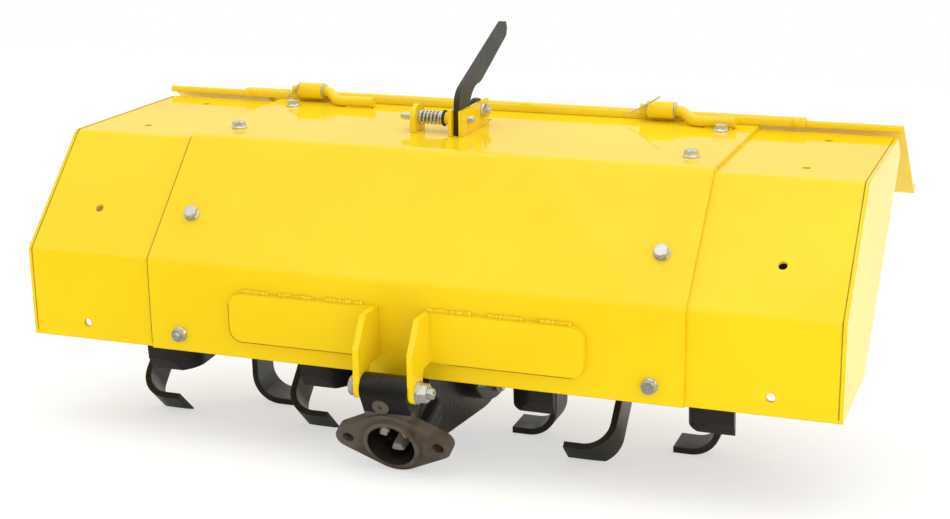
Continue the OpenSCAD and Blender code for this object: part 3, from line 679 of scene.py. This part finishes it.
def form(tree, kind, settings=None, family="GeometryNode", **values):
    """The first output of a new node, with the node's sockets filled."""
    node = add(tree, family + kind, **(settings or {}))
    fill(node, **values)
    return node.outputs[0]


def rotation(tree, kind, settings=None, **values):
    return form(tree, kind, settings, "FunctionNode", **values)


def lifted(shape, z):
    up = add(shape.id_data, "ShaderNodeCombineXYZ")
    put(up.inputs["Z"], z)
    return form(shape.id_data, "Transform", geometry=shape, translation=up.outputs[0])


def joined(*shapes):
    node = add(shapes[0].id_data, "GeometryNodeJoinGeometry")
    for shape in shapes:
        put(node.inputs[0], shape)
    return node.outputs[0]


def realized(copies):
    return form(copies.id_data, "RealizeInstances", geometry=copies)


def place_value(tree, name, data_type):
    return form(tree, "InputNamedAttribute", {"data_type": data_type}, name=name)


def on_places(points, shape):
    """A copy of a shape at each point, its z along the point's way, turned about it."""
    tree = points.id_data
    way = place_value(tree, "way", "FLOAT_VECTOR")
    turn = place_value(tree, "turn", "FLOAT")
    aim = rotation(tree, "AlignRotationToVector", {"axis": "Z"}, vector=way)
    spin = rotation(tree, "AxisAngleToRotation", axis=(0, 0, 1), angle=turn)
    both = rotation(tree, "RotateRotation", {"rotation_space": "LOCAL"}, rotation=aim, rotate_by=spin)
    copies = form(tree, "InstanceOnPoints", points=points, instance=shape, rotation=both)
    return realized(copies)


def make_head_tree():
    """Hexagon with chamfered corners, cut by a cone, on a sloping round flange."""
    tree, enter, leave = geometry_group(
        "hexagon_heads", "Across Flats", "Height", "Flange Diameter", "Flange Height")
    flats, height, flange_height = enter["Across Flats"], enter["Height"], enter["Flange Height"]
    corner = times(flats, 0.5 / cos(pi / 6))
    prism = form(tree, "MeshCylinder", vertices=6, radius=corner, depth=height)
    prism = lifted(prism, times(height, 0.5))
    top = times(flats, 0.475)
    wide = times_plus(height, sqrt(3), top)
    cone = form(tree, "MeshCone", vertices=48, radius_top=top, radius_bottom=wide, depth=height)
    cut = add(tree, "GeometryNodeMeshBoolean", operation="INTERSECT", solver="EXACT")
    put(cut.inputs["Mesh 2"], prism)
    put(cut.inputs["Mesh 2"], cone)
    rim = times(enter["Flange Diameter"], 0.5)
    low = times(flange_height, 0.55)
    skirt = form(tree, "MeshCylinder", vertices=40, radius=rim, depth=low)
    skirt = lifted(skirt, times(low, 0.5))
    inner = times(flats, 0.5)
    slope = form(tree, "MeshCone", vertices=40, radius_top=inner, radius_bottom=rim, depth=flange_height)
    whole = joined(cut.outputs[0], skirt, lifted(slope, low))
    fill(leave, geometry=on_places(enter["Geometry"], whole))
    return tree


def make_stud_tree():
    """End of a threaded stud: core, helical thread and a domed tip."""
    tree, enter, leave = geometry_group("stud_ends", "Diameter", "Length", "Pitch")
    length, pitch = enter["Length"], enter["Pitch"]
    core_r = times(enter["Diameter"], 0.44)
    core = form(tree, "MeshCylinder", vertices=28, radius=core_r, depth=length)
    core = lifted(core, times(length, 0.5))
    turns = math_node(tree, "DIVIDE", length, pitch)
    helix = form(tree, "CurveSpiral", resolution=24, rotations=turns,
                 start_radius=core_r, end_radius=core_r, height=length)
    ridge = form(tree, "CurvePrimitiveCircle", resolution=6, radius=times(pitch, 0.40))
    thread = form(tree, "CurveToMesh", curve=helix, profile_curve=ridge, fill_caps=True)
    tip = form(tree, "MeshUVSphere", segments=28, rings=10, radius=core_r)
    dome = form(tree, "Transform", geometry=tip, scale=(1, 1, 0.32))
    whole = joined(core, thread, lifted(dome, length))
    fill(leave, geometry=on_places(enter["Geometry"], whole))
    return tree


def make_weld_tree():
    """Weld run: overlapping ripples along each line of a mesh, uneven in size and place."""
    tree, enter, leave = geometry_group(
        "weld_runs", "Bead Radius", "Ripple Step", "Unevenness", Seed="NodeSocketInt")
    bead, uneven, seed = enter["Bead Radius"], enter["Unevenness"], enter["Seed"]
    line = form(tree, "MeshToCurve", mesh=enter["Geometry"])
    even = form(tree, "ResampleCurve", {"mode": "LENGTH"}, curve=line, length=enter["Ripple Step"])
    size = add(tree, "FunctionNodeRandomValue", data_type="FLOAT")
    put(size.inputs[2], math_node(tree, "SUBTRACT", 1.0, uneven))
    put(size.inputs[3], math_node(tree, "ADD", 1.0, uneven))
    put(size.inputs["Seed"], seed)
    radius = times(size.outputs[1], bead)
    drift = add(tree, "FunctionNodeRandomValue", data_type="FLOAT_VECTOR")
    drift.inputs[0].default_value = (-0.35, -0.35, -0.35)
    drift.inputs[1].default_value = (0.35, 0.35, 0.35)
    put(drift.inputs["Seed"], math_node(tree, "ADD", seed, 1.0))
    offset = add(tree, "ShaderNodeVectorMath", operation="SCALE")
    put(offset.inputs[0], drift.outputs[0])
    put(offset.inputs["Scale"], times(uneven, bead))
    moved = form(tree, "SetPosition", geometry=even, offset=offset.outputs[0])
    ripple = form(tree, "MeshUVSphere", segments=10, rings=6, radius=1.0)
    lens = form(tree, "Transform", geometry=ripple, scale=(0.72, 1, 0.92))
    along = rotation(tree, "AlignRotationToVector", {"axis": "X"}, vector=form(tree, "InputTangent"))
    copies = form(tree, "InstanceOnPoints", points=moved, instance=lens, rotation=along, scale=radius)
    smooth = form(tree, "SetShadeSmooth", geometry=realized(copies))
    fill(leave, geometry=smooth)
    return tree


def make_coil_tree():
    """Compression spring: round wire on a helix, with a closed turn at each end."""
    tree, enter, leave = geometry_group(
        "wound_springs", "Mean Radius", "Wire Radius", "Turns", "Length")
    mean, length = enter["Mean Radius"], enter["Length"]
    helix = form(tree, "CurveSpiral", resolution=40, rotations=enter["Turns"],
                 start_radius=mean, end_radius=mean, height=length)
    ends = form(tree, "CurvePrimitiveCircle", resolution=40, radius=mean)
    lines = joined(helix, ends, lifted(ends, length))
    ring = form(tree, "CurvePrimitiveCircle", resolution=12, radius=enter["Wire Radius"])
    body = form(tree, "CurveToMesh", curve=lines, profile_curve=ring, fill_caps=True)
    smooth = form(tree, "SetShadeSmooth", geometry=body)
    fill(leave, geometry=on_places(enter["Geometry"], smooth))
    return tree


HEADS = make_head_tree()
STUDS = make_stud_tree()
WELDS = make_weld_tree()
COILS = make_coil_tree()


def grow(tree, mesh, **values):
    """Runs a tree on a mesh and gives back its result as a plain mesh."""
    source = new_object("growing", mesh)
    modifier = source.modifiers.new("tree", "NODES")
    modifier.node_group = tree
    for item in tree.interface.items_tree:
        key = item.name.lower().replace(" ", "_")
        if item.in_out == "INPUT" and key in values:
            modifier[item.identifier] = values[key]
    ready = source.evaluated_get(bpy.context.evaluated_depsgraph_get())
    result = bpy.data.meshes.new_from_object(ready)
    source.modifiers.clear()
    bpy.data.objects.remove(source)
    return result


def places_mesh(places):
    """Points with a way and a turn; places are (point, way, turn)."""
    mesh = bpy.data.meshes.new("places")
    mesh.from_pydata([place[0] for place in places], [], [])
    mesh.attributes.new("way", "FLOAT_VECTOR", "POINT")
    mesh.attributes.new("turn", "FLOAT", "POINT")
    ways, turns = mesh.attributes["way"], mesh.attributes["turn"]
    for i, (point, way, turn) in enumerate(places):
        ways.data[i].vector = way
        turns.data[i].value = turn
    return mesh


def lines_mesh(runs):
    """Open lines, each a list of points, as edges of one mesh."""
    mesh = bpy.data.meshes.new("runs")
    points, edges = [], []
    for run in runs:
        start = len(points)
        points += run
        edges += [(start + i, start + i + 1) for i in range(len(run) - 1)]
    mesh.from_pydata(points, edges, [])
    return mesh


def hexagons(places, flats, height, flange, flange_height):
    """Hexagon heads or nuts, sizes in millimetres."""
    return grow(HEADS, places_mesh(places), across_flats=flats * MM, height=height * MM,
                flange_diameter=flange * MM, flange_height=flange_height * MM)


def stud_ends(places, size, length, pitch):
    """Ends of threaded studs, sizes in millimetres."""
    return grow(STUDS, places_mesh(places), diameter=size * MM, length=length * MM, pitch=pitch * MM)


def bolts_and_nuts(bolts, heights, flange, flange_height):
    """M8 bolts, each with the places of its head, nut and stud end; heights of the three in millimetres."""
    heads, nuts, studs = zip(*bolts)
    rims = dict(flats=M8_FLATS, flange=flange, flange_height=flange_height)
    return [hexagons(heads, height=heights[0], **rims),
            hexagons(nuts, height=heights[1], **rims),
            stud_ends(studs, M8, heights[2], M8_PITCH)]


def weld_beads(runs, bead, step, unevenness, seed):
    """Weld runs along lines, bead radius and ripple step in millimetres."""
    return grow(WELDS, lines_mesh(runs), bead_radius=bead * MM, ripple_step=step * MM,
                unevenness=unevenness, seed=seed)


def fix(name, body, slot, meshes, replaced=(), finish=None):
    """One finished piece from several meshes: attached to its body, given the finish of its slot unless another
    finish is given, with the CAD nodes it replaces hidden.
    """
    whole = bmesh.new()
    for mesh in meshes:
        whole.from_mesh(mesh)
    mesh = bpy.data.meshes.new(name)
    whole.to_mesh(mesh)
    whole.free()
    mesh.materials.clear()
    mesh.materials.append(finish or FINISHES[slot])
    mesh.polygons.foreach_set("material_index", [0] * len(mesh.polygons))
    piece = new_object(name, mesh)
    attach(piece, body)
    if replaced:
        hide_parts(*replaced)


# Meshes by hand: turned parts and bent wires

def shaped(body, angle=35.0):
    """The mesh of a built body: faces outwards, smooth up to an angle."""
    bmesh.ops.remove_doubles(body, verts=body.verts, dist=1e-7)
    bmesh.ops.recalc_face_normals(body, faces=body.faces)
    for face in body.faces:
        face.smooth = True
    for edge in body.edges:
        edge.smooth = len(edge.link_faces) == 2 and edge.calc_face_angle(0.0) < radians(angle)
    mesh = bpy.data.meshes.new("shaped")
    body.to_mesh(mesh)
    body.free()
    return mesh


def join_rings(body, rings):
    """Faces between each ring of points and the next; a ring may be a single point."""
    for low, high in zip(rings, rings[1:]):
        count = max(len(low), len(high))
        for k in range(count):
            n = (k + 1) % count
            corners = [low[k % len(low)], low[n % len(low)], high[n % len(high)], high[k % len(high)]]
            corners = list(dict.fromkeys(corners))
            if len(corners) > 2:
                body.faces.new(corners)


def turned(profile, origin, way, segments=40):
    """A solid of revolution: profile of (distance along, radius) in millimetres, closed at the axis."""
    body = bmesh.new()
    aim = Vector(way).to_track_quat("Z", "Y").to_matrix().to_4x4()
    aim.translation = origin
    rings = []
    for along, radius in profile:
        if radius < 1e-6:
            rings.append([body.verts.new(aim @ Vector((0, 0, along * MM)))])
            continue
        ring = []
        for k in range(segments):
            a = 2 * pi * k / segments
            point = Vector((radius * cos(a), radius * sin(a), along)) * MM
            ring.append(body.verts.new(aim @ point))
        rings.append(ring)
    join_rings(body, rings)
    return shaped(body)


def shank(origin, radius, length):
    """A plain round bolt shank across the machine, from its left end."""
    return turned([(0, 0), (0, radius), (length, radius), (length, 0)], origin, RIGHT)


def wire(path, radius, sides=12):
    """A round wire through points, with rounded corners and domed ends."""
    points = [Vector(p) for p in path]
    line = []
    for i, p in enumerate(points):
        if i in (0, len(points) - 1):
            line.append(p)
            continue
        back, on = points[i - 1] - p, points[i + 1] - p
        reach = min(back.length, on.length) * 0.45
        first, last = p + back.normalized() * reach, p + on.normalized() * reach
        for k in range(7):
            t = k / 6
            line.append(first * (1 - t) ** 2 + p * 2 * t * (1 - t) + last * t ** 2)
    r = radius * MM
    body = bmesh.new()
    ahead = (line[1] - line[0]).normalized()
    across = ahead.orthogonal().normalized()
    rings = []
    for i, p in enumerate(line):
        ahead = (line[min(i + 1, len(line) - 1)] - line[max(i - 1, 0)]).normalized()
        across = (across - ahead * across.dot(ahead)).normalized()
        side = ahead.cross(across)
        ring = []
        for k in range(sides):
            a = 2 * pi * k / sides
            ring.append(body.verts.new(p + (across * cos(a) + side * sin(a)) * r))
        rings.append(ring)
    tips = []
    for end, inner in ((line[0], line[1]), (line[-1], line[-2])):
        tips.append([body.verts.new(end + (end - inner).normalized() * r * 0.5)])
    join_rings(body, tips[:1] + rings + tips[1:])
    return shaped(body, angle=60.0)


# Bolts of the hood, the hitch, the lever and the flap

def make_hood_fasteners():
    """Flange heads outside, nuts and thread ends inside; the left front bolt is the other way round."""
    bolt_line = [
        (0.0, FRONT_BOLT_Z, pi / 2),
        (SLOPE_BOLT_UP * cos(SLOPE_A), FRONT_H + SLOPE_BOLT_UP * sin(SLOPE_A), SLOPE_A)]
    bolt_line += [(y, TOP_Z, 0.0) for y in ROOF_BOLT_Y]
    nut_height, sunk = 7.0, 0.5
    bolts = []
    for side in (-1, 1):
        for i, (y, z, lean) in enumerate(bolt_line):
            out = Vector((0, -sin(lean), cos(lean)))
            at = Vector((side * BOLT_X, y, z))
            flipped = side < 0 and i == 0
            way = -out if flipped else out
            twist = 0.35 + 0.8 * i + 0.5 * side
            nut_at = at - way * SHEET
            stud_at = nut_at - way * (nut_height - sunk)
            bolts.append((
                (parked(*(at + way * SHEET)), parked_way(*way), twist),
                (parked(*nut_at), parked_way(*-way), 0.9 * twist),
                (parked(*stud_at), parked_way(*-way), 0.0)))
    meshes = bolts_and_nuts(bolts, heights=(7.4, nut_height, 3.2), flange=M8_FLANGE, flange_height=2.0)
    fix("hood_fasteners", "machine", "zinc", meshes, ["hood_bolts"])


def make_hitch_fastener():
    nut_height, sunk = 11.0, 0.5
    left_end, right_end = parked(-EAR_OUT, HITCH_Y, 0), parked(EAR_OUT, HITCH_Y, 0)
    thread_end = parked(EAR_OUT + nut_height - sunk, HITCH_Y, 0)
    rims = dict(flats=M12_FLATS, flange=M12_FLANGE, flange_height=2.2)
    meshes = [
        hexagons([(left_end, -RIGHT, 0.2)], height=7.8, **rims),
        hexagons([(right_end, RIGHT, 0.5)], height=nut_height, **rims),
        stud_ends([(thread_end, RIGHT, 0.0)], M12, 5.2, M12_PITCH),
        shank(left_end, radius=5.9, length=2 * EAR_OUT)]
    fix("hitch_fastener", "machine", "zinc", meshes, ["hitch_bolt", "hitch_nut"])


def make_pivot_fastener():
    nut_height, nut_top = 6.6, 6.2
    left_x, right_x = LEVER_X - CHEEK_OUT, LEVER_X + CHEEK_OUT
    left_end, right_end = parked(left_x, PIVOT_Y, PIVOT_Z), parked(right_x, PIVOT_Y, PIVOT_Z)
    thread_end = parked(right_x + nut_top, PIVOT_Y, PIVOT_Z)
    meshes = [
        hexagons([(right_end, RIGHT, 0.3)], M8_FLATS, height=nut_height, flange=16, flange_height=1.8),
        hexagons([(left_end, -RIGHT, 0.1)], M8_FLATS, height=5.4, flange=14, flange_height=1.0),
        stud_ends([(thread_end, RIGHT, 0.0)], M8, 2.4, M8_PITCH),
        shank(left_end, radius=3.9, length=2 * CHEEK_OUT)]
    fix("pivot_fastener", "machine", "zinc", meshes, ["lever_pivot"])


def make_flap_fasteners():
    nut_height, nut_top = 5.6, 5.2
    out, back = parked_way(*FLAP_OUT), parked_way(*-FLAP_OUT)
    bolts = []
    for side in (-1, 1):
        for share in (0.3, 0.7):
            at = FLAP_TOP + FLAP_FALL * share * FLAP_LEN + Vector((side * FLAP_BOLT_X, 0, 0))
            bolts.append((
                (parked(*(at + FLAP_OUT * FLAP_T)), out, 0.4 * side + share),
                (parked(*(at - FLAP_OUT * FLAP_T)), back, share),
                (parked(*(at - FLAP_OUT * (FLAP_T + nut_top))), back, 0.0)))
    meshes = bolts_and_nuts(bolts, heights=(6.4, nut_height, 2.6), flange=M8_FLANGE, flange_height=1.8)
    fix("flap_fasteners", "flap", "zinc", meshes, ["flap_bolts"])


def make_flap_rivets():
    """Painted round heads on the flap's upright front edge, over the tucked ends of its side pieces."""
    dome = [(-4.5, 0), (-4.5, 4.2), (0.3, 4.2), (1.0, 3.9), (1.7, 3.1), (2.2, 1.8), (2.4, 0)]
    face_y, rivet_z = FLAP_TOP.y - FLAP_T, FLAP_LOW_Z + 5.0
    meshes = []
    for side in (-1, 1):
        at = parked(side * FLAP_BOLT_X, face_y, rivet_z)
        meshes.append(turned(dome, at, parked_way(0, -1, 0), segments=32))
    fix("flap_rivets", "flap", "yellow_paint", meshes)


def make_lock():
    """Turned pin with a rounded end, painted sleeve on the plate, rubber washer and spring."""
    tail_x, tip_x = EYE_X - 19.5, LEVER_X + CHEEK_OUT + 7.0
    sleeve_x = LEVER_X - CHEEK_OUT
    tail, plate = parked(tail_x, PIN_Y, PIN_Z), parked(sleeve_x, PIN_Y, PIN_Z)
    long = tip_x - tail_x
    pin = [(0, 0), (0.25, 1.6), (0.9, 2.8), (2.0, 3.6), (3.6, 4.0),
           (long - 1.6, 4.0), (long - 0.5, 3.4), (long, 2.6), (long, 0)]
    sleeve = [(-SLEEVE_LEN, PIN_BORE), (-SLEEVE_LEN, 6.4), (0.5 - SLEEVE_LEN, 7.0), (0.2, 7.0),
              (0.2, PIN_BORE), (-SLEEVE_LEN, PIN_BORE)]
    washer = [(-WASHER_END, PIN_BORE), (-WASHER_END, 8.4), (-12.2, 8.9), (-11.0, 8.9), (-10.6, 8.4),
              (-10.6, PIN_BORE), (-WASHER_END, PIN_BORE)]
    fix("locking_pin", "machine", "zinc", [turned(pin, tail, RIGHT)], ["lock_pin"])
    fix("pin_sleeve", "machine", "yellow_paint", [turned(sleeve, plate, RIGHT)])
    fix("stop_washer", "machine", "black_steel", [turned(washer, plate, RIGHT)], finish=RUBBER)
    clear = 1.3
    start, end = EYE_X + EYE_HALF + clear, sleeve_x - WASHER_END - clear
    coil = grow(COILS, places_mesh([(parked(start, PIN_Y, PIN_Z), RIGHT, 0.6)]), mean_radius=6.5 * MM,
                wire_radius=1.25 * MM, turns=6.0, length=(end - start) * MM)
    fix("wound_spring", "machine", "zinc", [coil], ["lock_spring"])


def make_split_pins():
    """A straight wire through the end of each rod, its legs lying along the tube."""
    for name, ends in (
            ("left_split_pin", ((-257.5, 306.5, 232.5), (-266.6, 310.5, 223.4), (-276.5, 309.0, 214.6))),
            ("right_split_pin", ((183.0, 305.5, 241.0), (161.4, 310.5, 227.0), (144.5, 310.0, 218.6)))):
        fix(name, "machine", "zinc", [wire([parked(*p) for p in ends], radius=0.9)])


# Welds, painted over: stitches on the bracket plates, rods, lever plates, ends of the hood and hinge tubes

def run_between(first, last):
    return [parked(*first), parked(*last)]


def make_hood_welds():
    stitches = [(-178.5, -150.0), (-134.8, -98.5), (-82.8, -42.8),
                (28.9, 72.5), (91.4, 126.6), (143.1, 178.0)]
    y, z = -SHEET - 1.2, BRACKET_TOP + 0.9
    runs = [run_between((a, y, z), (b, y, z)) for a, b in stitches]
    brackets = weld_beads(runs, bead=2.5, step=1.7, unevenness=0.34, seed=11)

    z = ROOF_Z + 0.6
    runs = []
    for tube_x in TUBES:
        for y in (ROD_FOOT_Y - ROD_R + 1, ROD_FOOT_Y + ROD_R - 1):
            runs.append(run_between((tube_x + ROD_FOOT[0], y, z), (tube_x + ROD_FOOT[1], y, z)))
    z = ROOF_Z + 0.4
    for x in (LEVER_X - CHEEK_OUT, LEVER_X - CHEEK_IN, LEVER_X + CHEEK_IN, LEVER_X + CHEEK_OUT):
        runs.append(run_between((x, CHEEK_BACK - 16, z), (x, CHEEK_BACK - 3, z)))
    x = EYE_X - EYE_HALF
    runs.append(run_between((x, PIN_Y - 12, z), (x, PIN_Y + 12, z)))
    small = weld_beads(runs, bead=1.3, step=1.1, unevenness=0.25, seed=23)

    under = TOP_Z - SHEET
    inside = [((SHEET, 14.0), (SHEET, 60.0)), ((SHEET + 24, 118.0), (SHEET + 70, 165.0)),
              ((135.0, under), (190.0, under)), ((240.0, under), (300.0, under))]
    runs = []
    for side in (-1, 1):
        x = side * (HALF_W - SHEET - 0.8)
        runs += [run_between((x, *a), (x, *b)) for a, b in inside]
    ends = weld_beads(runs, bead=2.3, step=1.7, unevenness=0.3, seed=37)
    fix("hood_welds", "machine", "yellow_paint", [brackets, small, ends])


def make_tube_welds():
    touch = Vector((0, BEND_Y - HINGE_Y, BEND_Z - HINGE_Z)).normalized()
    notch = Vector((0, -touch.z, touch.y))
    half = TUBE_HALF - 2
    runs = []
    for tube_x in TUBES:
        contact = Vector((tube_x, HINGE_Y, HINGE_Z)) + touch * TUBE_D / 2
        for away in (2.3, -2.3):
            at = contact + notch * away
            runs.append(run_between((at.x - half, at.y, at.z), (at.x + half, at.y, at.z)))
    beads = weld_beads(runs, bead=1.9, step=1.4, unevenness=0.28, seed=41)
    fix("tube_welds", "flap", "yellow_paint", [beads])


# Seams of the sheets: fine dark lines at the end plates, beside the left overlap and round the bracket plates,
# part dust and part painted shade of the gaps

def make_sheet_seams():
    wide, fine, sides = 0.5, 0.35, 8
    line = [(0.0, 4.0), (0.0, FRONT_H), (SLOPE_D, TOP_Z), (HINGE_Y, TOP_Z)]
    meshes = []
    for side in (-1, 1):
        x = side * (HALF_W - SHEET)
        for a, b in zip(line, line[1:]):
            meshes.append(wire(run_between((x, *a), (x, *b)), wide, sides))
    # Painted shadow line on the left wing, a little off the foot of the centre hood's step.
    x = -CENTRE_HW - 3.0
    for a, b in zip(line, line[1:3]):
        meshes.append(wire(run_between((x, *a), (x, *b)), fine, sides))
    # Painted shadow lines just below the bracket plates' lower edges and round the left plate's end.
    low, end = BRACKET_LOW - 3.0, BRACKET_END + 4.2
    right_run = run_between((EAR_OUT + 18, -SHEET, low), (BRACKET_END - BRACKET_ROUND, -SHEET, low))
    meshes.append(wire(right_run, fine, sides))
    path = [(-EAR_OUT, low)]
    steps = 8
    for k in range(steps + 1):
        a = radians(90 * k / steps)
        path.append((BRACKET_ROUND * (1 - sin(a)) - end, low + BRACKET_ROUND * (1 - cos(a))))
    path.append((-end, BRACKET_TOP - BRACKET_ROUND))
    meshes.append(wire([parked(x, -SHEET, z) for x, z in path], fine, sides))
    fix("sheet_seams", "machine", "yellow_paint", meshes, finish=SEAM)


def make_jaw_tips():
    """Worn tips on the jaws of the dog clutch, with chamfered edges."""
    across = Vector((1, 0, 0))
    body = bmesh.new()
    for k in range(JAWS):
        middle = radians(360 / JAWS * k - 90)
        rings = []
        for depth, inset in JAW_RINGS:
            spread = JAW_SPREAD - inset / JAW_MEAN
            steps = [spread * (i / 4 - 1) for i in range(9)]
            outline = [(JAW_OUT - inset, middle + s) for s in steps]
            outline += [(JAW_IN + inset, middle - s) for s in steps]
            rings.append([body.verts.new((across * r * cos(a) + COUPLING_UP * r * sin(a)
                                          + COUPLING_WAY * depth) * MM) for r, a in outline])
        join_rings(body, rings)
        body.faces.new(rings[0])
        body.faces.new(rings[-1])
    fix("jaw_tips", "input_shaft", "steel", [shaped(body, angle=25.0)])


def make_rotor_details():
    """Bolts through every tine leg and its flange, ring welds round the shaft."""
    nut_top, ring_out, steps = 6.0, SHAFT_R + 0.8, 48
    bolts, rings = [], []
    for side, rows in TINE_ROWS.items():
        outwards = Vector((side, 0, 0))
        for k, legs in enumerate(rows):
            x = ROTOR_SHIFT + side * TINE_STEP * (k + 1)
            head_x, nut_x, stud_x = x + side * LEG_OUT, x - side * PLATE_IN, x - side * (PLATE_IN + nut_top)
            angles = [radians(turn - back) for leg in legs for turn in (leg, leg + 180)
                      for back in TINE_BOLTS_BACK]
            for angle in angles:
                bolts.append((
                    (beside_rotor(head_x, TINE_BOLT_OUT, angle), outwards, angle),
                    (beside_rotor(nut_x, TINE_BOLT_OUT, angle), -outwards, angle),
                    (beside_rotor(stud_x, TINE_BOLT_OUT, angle), -outwards, angle)))
            for at in (nut_x, x - side * LEG_OUT):
                rings.append([beside_rotor(at, ring_out, 2 * pi * i / steps) for i in range(steps + 1)])
    meshes = bolts_and_nuts(bolts, heights=(6.6, 6.6, 3.0), flange=15.5, flange_height=1.2)
    fix("tine_bolts", "rotor", "black_steel", meshes)
    beads = weld_beads(rings, bead=2.4, step=2.2, unevenness=0.25, seed=53)
    fix("flange_welds", "rotor", "black_steel", [beads])


# Gear case: cover bolts, drain plug, cast boss over the flange and the parting line of the mould

def make_case_fasteners():
    covers = []
    for side in (-1, 1):
        way = parked_way(side, 0, 0)
        for k in range(COVER_BOLTS):
            a = 2 * pi * (k + 0.5) / COVER_BOLTS
            at = on_case(side * COVER_X, COVER_BOLT_OUT * cos(a), COVER_BOLT_OUT * sin(a))
            covers.append((at, way, 0.7 * k))
    down = on_case(0, 0, -1) - on_case(0, 0, 0)
    plug = [(on_case(0, 0, -PLUG_OUT), down.normalized(), 0.3)]
    meshes = [
        hexagons(covers, M8_FLATS, height=6.6, flange=M8_FLANGE, flange_height=1.8),
        hexagons(plug, flats=17, height=6.4, flange=24, flange_height=1.6)]
    fix("case_fasteners", "machine", "zinc", meshes, ["case_plug"])


def make_cast_boss():
    out = on_case(0, -1, 0) - on_case(0, 0, 0)
    boss = [(-9.0, 0), (-9.0, 9.4), (-1.2, 8.8), (-0.3, 8.2), (0.0, 7.2), (0.0, 2.6), (-0.5, 2.1),
            (-2.4, 1.8), (-2.4, 0)]
    parting = []
    for lift in range(200, 95, -7):
        a = radians(lift)
        parting.append(parked(MOULD_X, HITCH_Y + NECK_R * cos(a), NECK_R * sin(a)))
    meshes = [turned(boss, CAST_MARK, out, segments=44), wire(parting, radius=0.7, sides=8)]
    fix("cast_boss", "machine", "casting", meshes)


make_hood_fasteners()
make_hitch_fastener()
make_pivot_fastener()
make_flap_fasteners()
make_flap_rivets()
make_lock()
make_split_pins()
make_hood_welds()
make_tube_welds()
make_sheet_seams()
make_jaw_tips()
make_rotor_details()
make_case_fasteners()
make_cast_boss()
